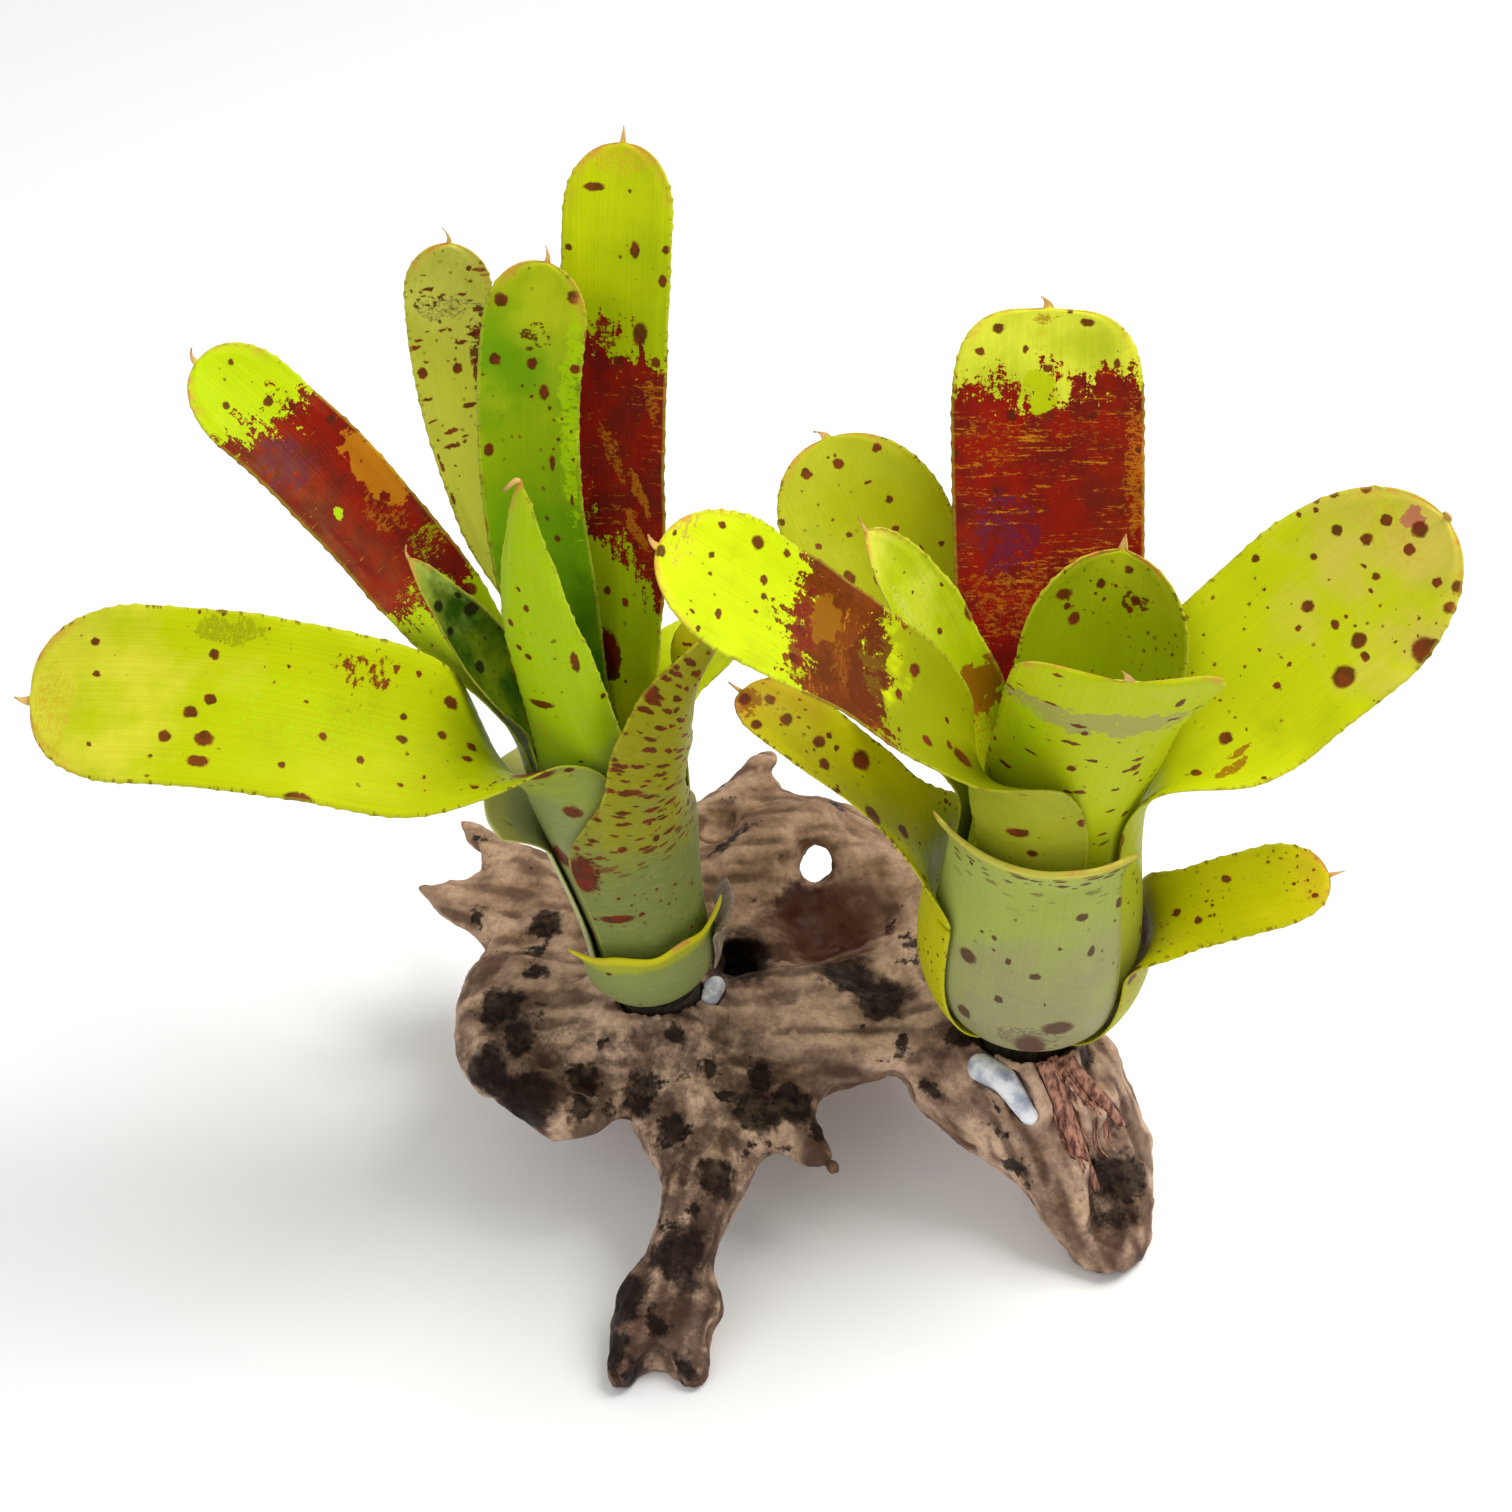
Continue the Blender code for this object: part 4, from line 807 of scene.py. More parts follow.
def note_places(mesh, places):
    """Keep on the mesh where each point lies on its leaf."""
    count = len(places)
    sheet = mesh.uv_layers.new(name="leaf_map")
    for loop in mesh.loops:
        across, along, _, _ = places[loop.vertex_index % count]
        sheet.data[loop.index].uv = (across / MAP_SCALE, along / MAP_SCALE)
    for name, pick in (("blade_share", 2), ("margin_mm", 3)):
        layer = mesh.attributes.new(name, "FLOAT", "POINT")
        layer.data.foreach_set("value", [places[k % count][pick] for k in range(len(mesh.vertices))])
    upper = mesh.attributes.new("upper_side", "FLOAT", "POINT")
    upper.data.foreach_set("value", [float(k >= count) for k in range(len(mesh.vertices))])


def settle(ob):
    """Keep the shape that the modifiers give."""
    graph = bpy.context.evaluated_depsgraph_get()
    shape = bpy.data.meshes.new_from_object(ob.evaluated_get(graph))
    ob.modifiers.clear()
    ob.data = shape


def finish_piece(ob, material, *nodes, slot=None):
    """Give a piece its material, and let it stand for the plain solids it refines."""
    ob.data.materials.clear()
    ob.data.materials.append(material)
    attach(ob, "root")
    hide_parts(*nodes)


def feed(tree, socket, value):
    """Set a socket to a value, or link it."""
    if isinstance(value, bpy.types.NodeSocket):
        tree.links.new(value, socket)
    else:
        socket.default_value = value


def add(tree, kind, inputs=None, **settings):
    """New node with its settings and inputs."""
    node = tree.nodes.new(kind)
    for key, value in settings.items():
        setattr(node, key, value)
    for key, value in (inputs or {}).items():
        feed(tree, node.inputs[key], value)
    return node


def calc(tree, operation, a, b):
    """Value worked out from two others."""
    return add(tree, "ShaderNodeMath", {0: a, 1: b}, operation=operation).outputs[0]


def times(tree, a, b):
    """Product of two values."""
    return calc(tree, "MULTIPLY", a, b)


def ease(tree, value, low, high, first=0.0, second=1.0):
    """Value eased from first to second while another goes from low to high."""
    names = {"Value": value, "From Min": low, "From Max": high, "To Min": first, "To Max": second}
    return add(tree, "ShaderNodeMapRange", names, interpolation_type="SMOOTHSTEP").outputs["Result"]


def tint(tree, share, a, b):
    """Colour a changed toward colour b by a share."""
    return add(tree, "ShaderNodeMix", {0: share, 6: a, 7: b}, data_type="RGBA").outputs[2]


def place_calc(tree, operation, a, b):
    """Place worked out from two others."""
    return add(tree, "ShaderNodeVectorMath", {0: a, 1: b}, operation=operation).outputs[0]


def joined(tree, a, b):
    """Two places added together."""
    return place_calc(tree, "ADD", a, b)


def stretched(tree, place, scale):
    """Place with its axes scaled, for a pattern that is longer one way."""
    return place_calc(tree, "MULTIPLY", place, scale)


def cloud(tree, place, scale, detail=2.0, rough=0.5):
    """Soft noise from 0 to 1."""
    names = {"Vector": place, "Scale": scale, "Detail": detail, "Roughness": rough}
    return add(tree, "ShaderNodeTexNoise", names).outputs["Fac"]


def streaky(tree, place, scale, detail, rough):
    """Soft noise from 0 to 1 that is longer one way."""
    return cloud(tree, stretched(tree, place, scale), 1.0, detail, rough)


def shaken(tree, place, scale, reach):
    """Noise about zero to move a place by, so that what is drawn there has an uneven edge."""
    names = {"Vector": place, "Scale": scale, "Detail": 3.0, "Roughness": 0.6}
    rough = add(tree, "ShaderNodeTexNoise", names).outputs["Color"]
    return stretched(tree, place_calc(tree, "SUBTRACT", rough, (0.5, 0.5, 0.5)), (reach, reach, reach))


def leaf_place(tree):
    """Place on a leaf in millimetres: across it, then along it."""
    sheet = add(tree, "ShaderNodeUVMap", uv_map="leaf_map").outputs[0]
    return stretched(tree, sheet, (MAP_SCALE, MAP_SCALE, 1.0))


def kept(tree, name):
    """Value that a mesh keeps under a name."""
    return add(tree, "ShaderNodeAttribute", attribute_name=name).outputs["Fac"]


# Kinds of socket of a node group
NUMBER = "NodeSocketFloat"
VECTOR = "NodeSocketVector"


def new_group(name, inputs, outputs):
    """Empty node group with named sockets."""
    group = bpy.data.node_groups.new(name, "ShaderNodeTree")
    for key, kind in inputs.items():
        group.interface.new_socket(name=key, in_out="INPUT", socket_type=kind)
    for key, kind in outputs.items():
        group.interface.new_socket(name=key, in_out="OUTPUT", socket_type=kind)
    start = group.nodes.new("NodeGroupInput")
    end = group.nodes.new("NodeGroupOutput")
    return group, start.outputs, end.inputs


def use_group(tree, group, inputs):
    """Place a group in a tree and give its outputs."""
    node = tree.nodes.new("ShaderNodeGroup")
    node.node_tree = group
    for key, value in inputs.items():
        feed(tree, node.inputs[key], value)
    return node.outputs


def make_spot_group():
    """Round spots of mixed size, scattered over a leaf, or short dashes where the place is stretched."""
    inputs = {"Place": VECTOR, "Spacing": NUMBER, "Amount": NUMBER, "Radius": NUMBER}
    group, given, out = new_group("leaf_spots", inputs, {"Mask": NUMBER})
    rate = calc(group, "DIVIDE", 1.0, given["Spacing"])
    cells = add(group, "ShaderNodeTexVoronoi", {"Vector": given["Place"], "Scale": rate, "Randomness": 1.0},
                voronoi_dimensions="2D")
    parts = add(group, "ShaderNodeSeparateColor", {0: cells.outputs["Color"]})
    distance = times(group, cells.outputs["Distance"], given["Spacing"])
    size = times(group, ease(group, parts.outputs[0], 0.0, 1.0, 0.3, 1.0), given["Radius"])
    inside = ease(group, calc(group, "SUBTRACT", size, distance), -0.15, 0.15)
    chosen = calc(group, "LESS_THAN", parts.outputs[1], given["Amount"])
    feed(group, out["Mask"], times(group, inside, chosen))
    return group


def make_mark_group():
    """One mark at a given place, size and turn."""
    inputs = {"Place": VECTOR, "Centre": VECTOR, "Size": VECTOR, "Turn": NUMBER, "Soft": NUMBER}
    group, given, out = new_group("placed_mark", inputs, {"Mask": NUMBER})
    away = place_calc(group, "SUBTRACT", given["Place"], given["Centre"])
    turned = add(group, "ShaderNodeVectorRotate", {"Vector": away, "Angle": given["Turn"]},
                 rotation_type="Z_AXIS")
    shape = place_calc(group, "DIVIDE", turned.outputs[0], given["Size"])
    length = add(group, "ShaderNodeVectorMath", {0: shape}, operation="LENGTH")
    near = calc(group, "SUBTRACT", 1.0, given["Soft"])
    far = calc(group, "ADD", 1.0, given["Soft"])
    feed(group, out["Mask"], ease(group, length.outputs["Value"], far, near))
    return group


def make_fill_group():
    """A patch broken up into granules: full where its share is 1, scattered where it is less."""
    inputs = {"Mask": NUMBER, "Grain": NUMBER, "Share": NUMBER}
    group, given, out = new_group("granular_fill", inputs, {"Mask": NUMBER})
    level = times(group, given["Mask"], given["Share"])
    spread = times(group, calc(group, "SUBTRACT", given["Grain"], 0.5), 1.7)
    value = calc(group, "ADD", level, times(group, spread, given["Mask"]))
    feed(group, out["Mask"], ease(group, value, 0.4, 0.56))
    return group


def make_band_group():
    """Cross band with ragged ends, and flecks of gold that lie across it."""
    inputs = {"Place": VECTOR, "Noise Place": VECTOR, "Start": NUMBER, "Start Slope": NUMBER,
              "End": NUMBER, "End Slope": NUMBER, "Gold": NUMBER}
    group, given, out = new_group("leaf_band", inputs, {"Mask": NUMBER, "Gold": NUMBER})
    parts = add(group, "ShaderNodeSeparateXYZ", {0: given["Place"]}).outputs
    spot = given["Noise Place"]
    ragged = ease(group, cloud(group, spot, 0.2, 6.0, 0.72), 0.3, 0.7, -5.0, 5.0)
    grains = streaky(group, spot, (1.1, 1.6, 1.0), 3.0, 0.7)
    grains = ease(group, grains, 0.3, 0.7, -2.4, 2.4)
    fingers = streaky(group, spot, (0.55, 0.09, 1.0), 3.0, 0.6)
    fingers = ease(group, fingers, 0.3, 0.7, -3.0, 3.0)
    along = calc(group, "ADD", parts["Y"], calc(group, "ADD", ragged, calc(group, "ADD", grains, fingers)))
    start = calc(group, "ADD", given["Start"], times(group, parts["X"], given["Start Slope"]))
    end = calc(group, "ADD", given["End"], times(group, parts["X"], given["End Slope"]))
    low = ease(group, calc(group, "SUBTRACT", along, start), -0.5, 0.5)
    high = ease(group, calc(group, "SUBTRACT", end, along), -0.5, 0.5)
    feed(group, out["Mask"], times(group, low, high))
    streaks = streaky(group, spot, (0.09, 1.1, 1.0), 4.0, 0.7)
    flecks = streaky(group, spot, (0.9, 2.6, 1.0), 3.0, 0.7)
    patches = cloud(group, spot, 0.1, 2.0, 0.5)
    gold = calc(group, "ADD", times(group, streaks, 0.6), times(group, flecks, 0.4))
    gold = calc(group, "ADD", gold, times(group, patches, 0.2))
    level = calc(group, "SUBTRACT", calc(group, "ADD", gold, given["Gold"]), 1.12)
    feed(group, out["Gold"], ease(group, level, -0.03, 0.05))
    return group


def make_vein_group():
    """Fine parallel veins that run the length of a leaf, and scurf that lies across it."""
    group, given, out = new_group("leaf_veins", {"Place": VECTOR}, {"Veins": NUMBER, "Scurf": NUMBER})
    lines = streaky(group, given["Place"], (2.4, 0.03, 1.0), 2.0, 0.5)
    feed(group, out["Veins"], ease(group, lines, 0.35, 0.65))
    rows = streaky(group, given["Place"], (0.3, 1.2, 1.0), 4.0, 0.65)
    feed(group, out["Scurf"], ease(group, rows, 0.4, 0.7))
    return group


def new_material(name):
    """Material with its node tree and its shader."""
    material = bpy.data.materials.new(name)
    material.use_nodes = True
    tree = material.node_tree
    return material, tree, tree.nodes["Principled BSDF"]


def leaf_ground(tree, look, side, place, share, upper, veins):
    """Greens of a leaf before anything is drawn on it: blade, under side and sheath."""
    uneven = ease(tree, cloud(tree, place, 0.06, 4.0, 0.6), 0.3, 0.7, -0.14, 0.14)
    drift = calc(tree, "ADD", share, uneven)
    rise = ease(tree, drift, *look.get("rise", (0.0, 0.4)))
    top = tint(tree, rise, paint(look["base"]), paint(look["green"]))
    top = tint(tree, ease(tree, drift, 0.72, 1.02), top, paint(look["tip"]))
    olive = ease(tree, cloud(tree, place, 0.05, 5.0, 0.65), 0.5, 0.72)
    top = tint(tree, times(tree, olive, 0.3), top, paint(PIGMENTS["olive"]))
    sunny = ease(tree, cloud(tree, joined(tree, place, (50.0, 9.0, 0.0)), 0.035, 3.0), 0.5, 0.7)
    top = tint(tree, times(tree, sunny, 0.25), top, paint(LEAF_COLOURS["sunny"]))

    low, high = look.get("sheath", SHEATHS[side])
    blade = paint(look["under"]) if "under" in look else tint(tree, 0.35, top, paint(high))
    below = tint(tree, ease(tree, drift, -1.0, -0.4), paint(low), paint(high))
    turn = (-0.12, 0.3) if side == "left" else (-0.5, -0.1)
    below = tint(tree, ease(tree, drift, *turn), below, blade)
    dust = times(tree, veins["Scurf"], 0.12)
    below = tint(tree, dust, below, paint(LEAF_COLOURS["scurf"]))
    ground = tint(tree, upper, below, top)
    return tint(tree, times(tree, veins["Veins"], 0.07), ground, paint(LEAF_COLOURS["vein"]))


def leaf_drawing(tree, look, groups, ground, place, seeded, share):
    """Bands, patches, specks, dashes and marks drawn over the greens of a leaf."""
    grain = streaky(tree, seeded, (0.9, 1.7, 1.0), 4.0, 0.72)
    coarse = streaky(tree, seeded, (0.55, 0.8, 1.0), 3.0, 0.62)
    broad = joined(tree, place, shaken(tree, seeded, 0.28, 4.5))
    loose = joined(tree, place, shaken(tree, seeded, 0.9, 1.1))
    if "band" in look:
        start, start_slope, end, end_slope = look["band"]
        given = {"Place": place, "Noise Place": seeded, "Start": start, "Start Slope": start_slope,
                 "End": end, "End Slope": end_slope, "Gold": look["gold"]}
        band = use_group(tree, groups["band"], given)
        fresh = ease(tree, cloud(tree, seeded, 0.14, 4.0, 0.6), 0.35, 0.65)
        red = tint(tree, fresh, *map(paint, look.get("red", BAND_REDS)))
        granular = times(tree, ease(tree, grain, 0.5, 0.7), 0.5)
        red = tint(tree, granular, red, paint(LEAF_COLOURS["band_grain"]))
        red = tint(tree, band["Gold"], red, paint(PIGMENTS["gold"]))
        ground = tint(tree, band["Mask"], ground, red)
    for along, across, long, wide, turn, pigment, full in look.get("patches", ()):
        given = {"Place": broad, "Centre": (across, along, 0.0), "Size": (wide, long, 1.0),
                 "Turn": math.radians(turn), "Soft": 0.35}
        patch = use_group(tree, groups["mark"], given)["Mask"]
        ink = pigment in DARK_PIGMENTS
        given = {"Mask": patch, "Grain": coarse if ink else grain, "Share": full}
        filled = use_group(tree, groups["fill"], given)["Mask"]
        strong = 0.92 if ink else min(0.95, full + 0.15)
        ground = tint(tree, times(tree, filled, strong), ground, paint(PIGMENTS[pigment]))

    clusters = ease(tree, cloud(tree, seeded, 0.07, 2.0), 0.44, 0.6)
    given = {"Place": loose, "Spacing": 2.0, "Amount": look.get("specks", 0.12), "Radius": 0.4}
    spots = times(tree, use_group(tree, groups["spots"], given)["Mask"], clusters)
    if "dashes" in look:
        narrow = stretched(tree, loose, (0.45, 1.5, 1.0))
        given = {"Place": narrow, "Spacing": 2.1, "Amount": look["dashes"], "Radius": 0.8}
        above = ease(tree, share, -0.15, 0.1)
        dashes = times(tree, use_group(tree, groups["spots"], given)["Mask"], above)
        spots = calc(tree, "MAXIMUM", spots, dashes)
    given = {"Place": loose, "Spacing": 7.0, "Amount": 0.16, "Radius": 1.1}
    spots = calc(tree, "MAXIMUM", spots, use_group(tree, groups["spots"], given)["Mask"])
    for along, across, long, wide in look.get("marks", ()):
        given = {"Place": loose, "Centre": (across, along, 0.0), "Size": (wide, long, 1.0), "Soft": 0.22}
        spots = calc(tree, "MAXIMUM", spots, use_group(tree, groups["mark"], given)["Mask"])
    ink = look.get("ink", PIGMENTS["spot"])
    ruddy = look.get("ink", PIGMENTS["ruddy"])
    shade = tint(tree, ease(tree, cloud(tree, seeded, 0.35, 2.0), 0.4, 0.6), paint(ink), paint(ruddy))
    return tint(tree, times(tree, spots, 0.95), ground, shade)


def leaf_margin(tree, look, ground, seeded, share, margin):
    """Thin pale margin with dark points along it, and the tan flush and spine of the tip."""
    pale = times(tree, ease(tree, margin, 0.7, 0.15), 0.3)
    ground = tint(tree, pale, ground, paint(LEAF_COLOURS["margin"]))
    beads = streaky(tree, seeded, (0.2, 0.9, 1.0), 2.0, 0.6)
    points = times(tree, ease(tree, beads, 0.55, 0.62), ease(tree, margin, 0.9, 0.3))
    dots = times(tree, points, 0.75 * look.get("dots", 0.5))
    dots = times(tree, dots, ease(tree, share, 0.0, 0.1))
    ground = tint(tree, dots, ground, paint(LEAF_COLOURS["margin_dot"]))
    if "rim" in look:
        edge = times(tree, ease(tree, share, 0.55, 0.85), 0.85)
        ground = tint(tree, edge, ground, paint(look["rim"]))
        flush = ease(tree, cloud(tree, seeded, 0.12, 3.0), 0.5, 0.62)
        pink = times(tree, ease(tree, share, 0.9, 1.0), flush)
        return tint(tree, times(tree, pink, 0.7), ground, paint(LEAF_COLOURS["rim_flush"]))
    rust = ease(tree, cloud(tree, seeded, 0.35, 4.0, 0.6), 0.42, 0.62, 0.15, 0.85)
    close = times(tree, ease(tree, share, 0.9, 0.99), ease(tree, margin, 3.0, 0.4))
    ground = tint(tree, times(tree, close, rust), ground, paint(LEAF_COLOURS["tip_flush"]))
    point = ease(tree, share, 1.012, 1.03)
    spine = tint(tree, point, paint(LEAF_COLOURS["spine"]), paint(LEAF_COLOURS["spine_point"]))
    return tint(tree, ease(tree, share, 1.0, 1.006), ground, spine)


def leaf_material(name, look, side, groups):
    """Waxy leaf with all that is drawn on it."""
    material, tree, shader = new_material("leaf_" + name)
    place = leaf_place(tree)
    share = kept(tree, "blade_share")
    margin = kept(tree, "margin_mm")
    upper = kept(tree, "upper_side")
    draw = random.Random("looks of " + name)
    seeded = joined(tree, place, tuple(draw.uniform(0.0, reach) for reach in (400.0, 400.0, 20.0)))
    veins = use_group(tree, groups["veins"], {"Place": seeded})
    ground = leaf_ground(tree, look, side, seeded, share, upper, veins)
    ground = leaf_drawing(tree, look, groups, ground, place, seeded, share)
    ground = leaf_margin(tree, look, ground, seeded, share, margin)
    feed(tree, shader.inputs["Base Color"], ground)
    bump = add(tree, "ShaderNodeBump", {"Height": veins["Veins"], "Strength": 0.12, "Distance": 0.0003})
    feed(tree, shader.inputs["Normal"], bump.outputs[0])
    wax = ease(tree, cloud(tree, seeded, 0.3, 3.0), 0.3, 0.7, 0.4, 0.54)
    feed(tree, shader.inputs["Roughness"], wax)
    shader.inputs["Specular IOR Level"].default_value = 0.18
    shader.inputs["Specular Tint"].default_value = (1.0, 0.95, 0.2, 1.0)
    return material


# Directions of the grain in the wood: middle of a limb, its direction and its reach
WOOD_GRAIN_LINES = [
    ((0.0, -4.0, 32.0), (1.0, 0.05, 0.0), 30.0),
    ((-55.0, 22.0, 38.0), (-1.0, 0.25, 0.1), 18.0),
    ((0.0, 45.0, 40.0), (1.0, 0.0, 0.0), 18.0),
    ((-12.0, -52.0, 18.0), (-0.2, -0.8, -0.5), 18.0),
    ((66.0, -36.0, 16.0), (0.35, -0.35, -0.85), 20.0),
    ((-42.0, 30.0, 16.0), (-0.3, 0.3, -0.9), 14.0),
    ((38.0, 42.0, 16.0), (0.25, 0.3, -0.9), 14.0),
    ((40.0, 14.0, 34.0), (0.3, -0.95, 0.0), 16.0),
]

# Colours of the wood: its two shades, its back, streaks and mottle, its stains, also used for painted shade
# in hollows, and the bowl
WOOD_COLOURS = {
    "dark": (104, 78, 64),
    "pale": (214, 180, 152),
    "back": (156, 122, 90),
    "tan": (172, 140, 104),
    "fibre": (70, 50, 42),
    "grain": (66, 46, 36),
    "mottle": (56, 36, 30),
    "stain_and_shade_warm": (18, 8, 5),
    "stain_and_shade_cold": (14, 8, 8),
    "bowl": (58, 24, 8),
}

# Dark and light shade of the roots, the stems, the glue and the papery bract. The stems' browns are near
# black as painted shade where the plants sit on the wood.
ROOT_BROWNS = ((84, 36, 20), (190, 134, 108))
STEM_SHADE_BROWNS = ((26, 18, 14), (66, 50, 34))
GLUE_WHITES = ((150, 156, 176), (232, 234, 236))
BRACT_BROWNS = ((96, 74, 60), (176, 158, 138))

# Bowl of the wood: its middle and its half sizes in millimetres
BOWL_MIDDLE = (17.0, 26.0, 36.0)
BOWL_SIZE = (14.0, 12.0, 9.0)

# Black-brown stains of the wood, some of them painted shade in its hollows and next to the left plant's
# base: place and radius in millimetres
WOOD_STAINS_AND_SHADE = [
    (-50, -2, 40, 5.5), (-43, 7, 41, 2.5), (-46, -10, 39, 4), (-52, -17, 35, 6),
    (-44, -23, 32, 6.5), (-33, -18, 35, 4), (-28, -13, 40, 1.6), (-14, -12, 42, 2.8),
    (-21, -21, 33, 4.8), (-14, -29, 31, 3.5), (-33, -25, 33, 3.5), (-3, -23, 35, 2),
    (3, -25, 32, 5), (10, -23, 32, 4.5), (16, -27, 29, 3.4), (4, -18, 35, 3.2),
    (-4, -40, 29, 4.4), (-7, -16, 38, 2), (-12, -53, 19, 6), (-23, -59, 14, 5.5),
    (-25, -66, 7, 4.5), (-20, -71, 4, 3.5), (-12, -70, 6, 3.5), (-16, -65, 14, 3),
    (-2, 10, 40, 5.5), (23, 8, 41, 6.5), (29, 2, 40, 7), (-6, 51, 47, 3),
    (-42, 22, 41, 4), (-10, -46, 25, 2), (56, -30, 22, 2.6), (45, -13, 44, 3.5),
    (13, 32, 38, 6), (39, -20, 33, 2.5), (65, -14, 38, 3.4), (74, -33, 22, 2.4),
    (82, -33, 15, 2), (52, -28, 36, 1.6), (77, -32, 18, 6.6), (77, -36.5, 14, 6.2),
    (-1, 12, 39, 8), (-1, 16, 33, 9), (68.5, -17, 38, 4.5),
]


def rounded(node, levels):
    """Piece made from a plain solid, with its facets rounded off."""
    bm = bmesh.new()
    bm.from_mesh(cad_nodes[node].data)
    bmesh.ops.remove_doubles(bm, verts=bm.verts[:], dist=SAME_CORNER)
    for face in bm.faces:
        face.smooth = True
    ob = object_from(bm, "fine_" + node)
    finer = ob.modifiers.new("Finer surface", "SUBSURF")
    finer.levels = levels
    finer.render_levels = levels
    settle(ob)
    return ob


def grain_at(point, lines):
    """Noise that runs along the nearest limbs of the wood."""
    total = 0.0
    weight = 0.0
    for middle, way, reach in lines:
        share = math.exp(-((point - middle).length / reach) ** 2) + 1e-6
        run = point - way * (point.dot(way) * 0.9)
        total += share * noise.noise(run * 0.42)
        weight += share
    return total / weight


def build_wood(material):
    """Driftwood with worn grain, pits and lumps over its whole surface."""
    ob = rounded("driftwood", 2)
    lines = [(Vector(middle), Vector(way).normalized(), reach) for middle, way, reach in WOOD_GRAIN_LINES]
    mesh = ob.data
    normals = [vert.normal.copy() for vert in mesh.vertices]
    grain = []
    for vert, normal in zip(mesh.vertices, normals):
        point = vert.co / MM - MIDDLE
        line = grain_at(point, lines)
        lumps = noise.noise(point * 0.09) * 0.9 + noise.noise(point * 0.22 + Vector((9.0, 0.0, 0.0))) * 0.5
        pits = max(0.0, noise.noise(point * 0.16 + Vector((0.0, 31.0, 0.0))) - PIT_START) * -PIT_DEPTH
        fine = noise.noise(point * 0.6) * 0.2
        push = lumps + pits + line * 0.6 + fine
        if point.z < FOOT_HEIGHT:
            push = min(push, 0.0)
        vert.co = vert.co + normal * (push * MM)
        vert.co.z = max(vert.co.z, 0.0)
        grain.append(line + pits * 0.25)
    layer = mesh.attributes.new("wood_grain", "FLOAT", "POINT")
    layer.data.foreach_set("value", grain)
    finish_piece(ob, material, "driftwood", slot="driftwood_brown")
    return ob


def wood_material(groups):
    """Weathered driftwood: tan to brown, black-brown stains in front with painted shade in some hollows,
    damp and glossy in places.
    """
    material, tree, shader = new_material("driftwood_weathered")
    place = stretched(tree, add(tree, "ShaderNodeTexCoord").outputs["Object"], (1.0 / MM,) * 3)
    grain = kept(tree, "wood_grain")
    depth = add(tree, "ShaderNodeSeparateXYZ", {0: place}).outputs
    back = ease(tree, depth["Y"], -8.0, 45.0)
    shades = calc(tree, "ADD", cloud(tree, place, 0.055, 6.0, 0.62), times(tree, grain, 0.16))
    shades = ease(tree, shades, 0.34, 0.66)
    wood = tint(tree, shades, paint(WOOD_COLOURS["dark"]), paint(WOOD_COLOURS["pale"]))
    wood = tint(tree, times(tree, back, 0.45), wood, paint(WOOD_COLOURS["back"]))
    tan = ease(tree, cloud(tree, place, 0.12, 5.0, 0.65), 0.54, 0.66)
    wood = tint(tree, times(tree, tan, 0.5), wood, paint(WOOD_COLOURS["tan"]))
    fibres = ease(tree, cloud(tree, place, 0.6, 5.0, 0.75), 0.42, 0.62)
    wood = tint(tree, times(tree, fibres, 0.3), wood, paint(WOOD_COLOURS["fibre"]))
    lines = ease(tree, grain, 0.0, -0.35)
    wood = tint(tree, times(tree, lines, 0.45), wood, paint(WOOD_COLOURS["grain"]))

    loose = joined(tree, place, joined(tree, shaken(tree, place, 0.16, 9.0), shaken(tree, place, 0.6, 4.0)))
    front = times(tree, ease(tree, depth["Y"], 4.0, -14.0), ease(tree, depth["X"], 22.0, -4.0))
    mottle = times(tree, front, ease(tree, cloud(tree, place, 0.13, 5.0, 0.68), 0.4, 0.58))
    wood = tint(tree, times(tree, mottle, 0.75), wood, paint(WOOD_COLOURS["mottle"]))
    # Painted shade: besides real stains, the listed marks darken hollows and the wood next to the left
    # plant's base
    stain_and_shade = ease(tree, cloud(tree, place, 0.1, 5.0, 0.66), 0.6, 0.66)
    for x, y, z, radius in WOOD_STAINS_AND_SHADE:
        given = {"Place": loose, "Centre": (x, y, z), "Size": (radius, radius, radius), "Soft": 0.25}
        stain_and_shade = calc(tree, "MAXIMUM", stain_and_shade, use_group(tree, groups["mark"], given)["Mask"])
    speck = ease(tree, cloud(tree, place, 0.5, 4.0, 0.7), 0.35, 0.6, 1.0, 0.88)
    stain_and_shade = times(tree, stain_and_shade, speck)
    warm = ease(tree, cloud(tree, place, 0.09, 2.0), 0.4, 0.6)
    black = tint(tree, warm, paint(WOOD_COLOURS["stain_and_shade_warm"]), paint(WOOD_COLOURS["stain_and_shade_cold"]))
    wood = tint(tree, times(tree, stain_and_shade, 0.99), wood, black)
    given = {"Place": loose, "Centre": BOWL_MIDDLE, "Size": BOWL_SIZE, "Soft": 0.5}
    bowl = use_group(tree, groups["mark"], given)["Mask"]
    wood = tint(tree, times(tree, bowl, 0.92), wood, paint(WOOD_COLOURS["bowl"]))
    feed(tree, shader.inputs["Base Color"], wood)
    damp = times(tree, stain_and_shade, ease(tree, cloud(tree, place, 0.05), 0.42, 0.56))
    feed(tree, shader.inputs["Roughness"], ease(tree, damp, 0.0, 1.0, 0.7, 0.38))
    rolling = times(tree, cloud(tree, place, 0.18, 4.0), 1.5)
    relief = calc(tree, "ADD", cloud(tree, place, 0.6, 5.0, 0.7), rolling)
    bump = add(tree, "ShaderNodeBump", {"Height": relief, "Strength": 0.3, "Distance": 0.0005})
    feed(tree, shader.inputs["Normal"], bump.outputs[0])
    shader.inputs["Specular IOR Level"].default_value = 0.14
    shader.inputs["Specular Tint"].default_value = (1.0, 0.75, 0.65, 1.0)
    return material


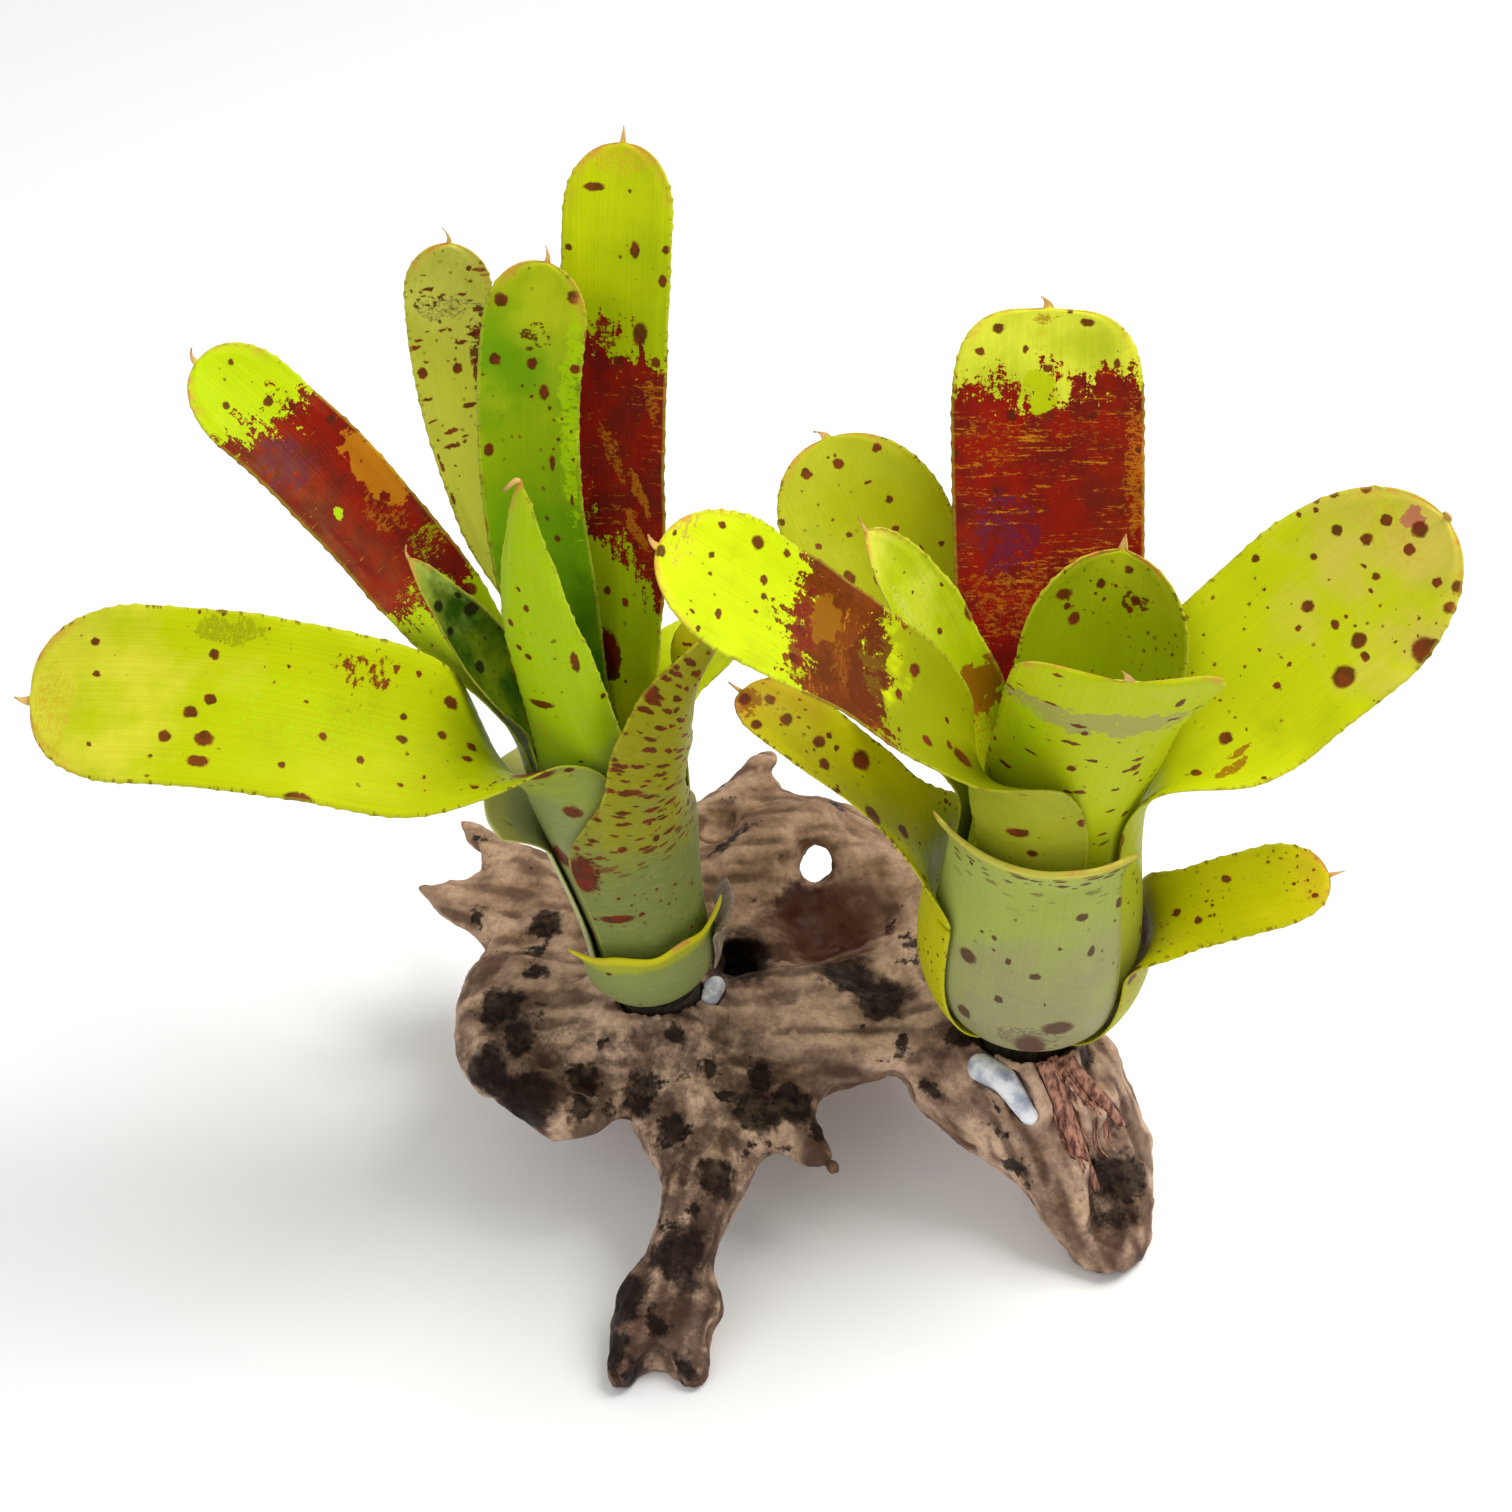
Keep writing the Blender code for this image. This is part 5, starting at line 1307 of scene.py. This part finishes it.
def fibre_material(name, browns):
    """Dull fibrous brown of stems and roots."""
    material, tree, shader = new_material(name)
    place = add(tree, "ShaderNodeTexCoord").outputs["Object"]
    strands = streaky(tree, place, (900.0, 900.0, 220.0), 4.0, 0.6)
    brown = tint(tree, ease(tree, strands, 0.35, 0.65), *map(paint, browns))
    feed(tree, shader.inputs["Base Color"], brown)
    bump = add(tree, "ShaderNodeBump", {"Height": strands, "Strength": 0.6, "Distance": 0.0006})
    feed(tree, shader.inputs["Normal"], bump.outputs[0])
    shader.inputs["Roughness"].default_value = 0.75
    return material


def glue_material():
    """Set glue: milky white with a wet gloss."""
    material, tree, shader = new_material("glue_milky")
    place = add(tree, "ShaderNodeTexCoord").outputs["Object"]
    milky = ease(tree, cloud(tree, place, 260.0, 3.0), 0.35, 0.65)
    feed(tree, shader.inputs["Base Color"], tint(tree, milky, *map(paint, GLUE_WHITES)))
    feed(tree, shader.inputs["Roughness"], ease(tree, milky, 0.0, 1.0, 0.3, 0.12))
    shader.inputs["Coat Weight"].default_value = 0.6
    return material


def bract_material():
    """Dry papery bract with long fibres."""
    material, tree, shader = new_material("bract_papery")
    place = leaf_place(tree)
    fibres = streaky(tree, place, (2.5, 0.2, 1.0), 4.0, 0.6)
    brown = tint(tree, ease(tree, fibres, 0.3, 0.7), *map(paint, BRACT_BROWNS))
    feed(tree, shader.inputs["Base Color"], brown)
    feed(tree, shader.inputs["Roughness"], ease(tree, fibres, 0.3, 0.7, 0.6, 0.85))
    return material


# Thin roots that run down the wood, in millimetres, as points along the middle of each bundle
ROOT_BUNDLES = [
    ((53.0, -28.0), (58.0, -35.0), (64.0, -38.5), (71.0, -40.0)),
    ((55.0, -27.0), (60.0, -33.0), (66.0, -36.5), (72.0, -39.0)),
    ((53.0, -29.0), (58.0, -36.0), (63.0, -41.0), (67.0, -44.0)),
]


def build_root_strands(wood, material):
    """Wiry roots laid over the wood below the right plant."""
    surface = BVHTree.FromPolygons([vert.co / MM - MIDDLE for vert in wood.data.vertices],
                                   [tuple(face.vertices) for face in wood.data.polygons])
    draw = random.Random(5)
    curve = bpy.data.curves.new("root_strands", "CURVE")
    curve.dimensions = "3D"
    curve.bevel_depth = STRAND_RADIUS * MM
    curve.bevel_resolution = 2
    curve.use_fill_caps = True
    for bundle in ROOT_BUNDLES:
        for strand in range(STRANDS_IN_BUNDLE):
            side = Vector((draw.uniform(-2.0, 2.0), draw.uniform(-1.6, 1.6), 0.0))
            first = draw.choice((0.0, 0.0, 0.15, 0.3))
            last = draw.uniform(0.6, 1.0)
            lift = draw.uniform(0.15, 1.1)
            line = []
            for k in range(STRAND_POINTS):
                part = k / (STRAND_POINTS - 1)
                t = first + (last - first) * part
                at = bezier([Vector((x, y, 0.0)) for x, y in bundle], t) + side * (0.5 + 0.7 * t)
                sway = [noise.noise(Vector((t * 5.0, strand, level))) for level in (1.0, 8.0)]
                at += Vector((*sway, 0.0)) * 1.6
                hit = surface.ray_cast(Vector((at.x, at.y, 80.0)), Vector((0.0, 0.0, -1.0)))[0]
                if hit is None:
                    break
                line.append(hit + Vector((0.0, 0.0, lift * math.sin(math.pi * part) + 0.1)))
            if len(line) < 4:
                continue
            spline = curve.splines.new("POLY")
            spline.points.add(len(line) - 1)
            for k, (point, at) in enumerate(zip(spline.points, line)):
                point.co = (*((at + MIDDLE) * MM), 1.0)
                point.radius = 1.0 - 0.6 * k / len(line)
    ob = new_object("root_strands", curve)
    graph = bpy.context.evaluated_depsgraph_get()
    mesh = bpy.data.meshes.new_from_object(ob.evaluated_get(graph))
    bpy.data.objects.remove(ob)
    strands = new_object("root_strands", mesh)
    mesh.materials.clear()
    mesh.materials.append(material)
    for face in mesh.polygons:
        face.use_smooth = True
    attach(strands, "root")


def build_stage():
    """Pale floor, soft light from above and the photograph's camera."""
    bm = bmesh.new()
    bmesh.ops.create_grid(bm, x_segments=1, y_segments=1, size=FLOOR_HALF)
    floor = object_from(bm, "floor")
    pale, _, shader = new_material("floor_pale")
    shader.inputs["Base Color"].default_value = (0.97, 0.97, 0.97, 1.0)
    shader.inputs["Roughness"].default_value = 0.7
    shader.inputs["Specular IOR Level"].default_value = 0.1
    floor.data.materials.append(pale)

    world = bpy.data.worlds.new("studio")
    world.use_nodes = True
    sky = world.node_tree.nodes["Background"]
    sky.inputs["Color"].default_value = (1.0, 1.0, 1.0, 1.0)
    sky.inputs["Strength"].default_value = WORLD_LIGHT
    bpy.context.scene.world = world
    for name, place, size, power in LAMPS:
        lamp = bpy.data.lights.new(name, "AREA")
        lamp.shape = "DISK"
        lamp.size = size
        lamp.energy = power
        holder = new_object(name, lamp)
        holder.location = place
        holder.rotation_euler = (LAMP_TARGET - Vector(place)).to_track_quat("-Z", "Y").to_euler()
    lens = bpy.data.cameras.new("camera")
    lens.lens = CAMERA_LENS
    lens.sensor_width = 36.0
    camera = new_object("camera", lens)
    camera.location = Vector(CAMERA_PLACE) + MIDDLE * MM
    camera.rotation_euler = (math.radians(CAMERA_TILT), 0.0, 0.0)
    bpy.context.scene.camera = camera
    bpy.context.scene.view_settings.view_transform = "Standard"


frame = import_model()
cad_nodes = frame["nodes"]
patterns = {"spots": make_spot_group(), "mark": make_mark_group(), "fill": make_fill_group(),
            "band": make_band_group(), "veins": make_vein_group()}
dry_bract = bract_material()
for side, plant, leaves in (("left", LEFT_PLANT, LEFT_LEAVES), ("right", RIGHT_PLANT, RIGHT_LEAVES)):
    for leaf in leaves:
        finish = dry_bract
        if "bract" not in leaf["name"]:
            finish = leaf_material(leaf["name"], LOOKS[leaf["name"]], side, patterns)
        build_leaf(plant, leaf, finish)
wood = build_wood(wood_material(patterns))
root_brown = fibre_material("root_fibres", ROOT_BROWNS)
# Painted shade: the stems are near black so that they read as the shade where the plants sit on the wood
stem_shade_brown = fibre_material("stem_fibres_shade", STEM_SHADE_BROWNS)
finish_piece(rounded("right_roots", 1), root_brown, "right_roots", slot="root_brown")
build_root_strands(wood, root_brown)
for node in ("right_glue", "left_glue"):
    finish_piece(rounded(node, 1), glue_material(), node, slot="glue_pale")
for node in ("left_stem", "right_stem"):
    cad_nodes[node].data.materials.clear()
    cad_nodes[node].data.materials.append(stem_shade_brown)
build_stage()
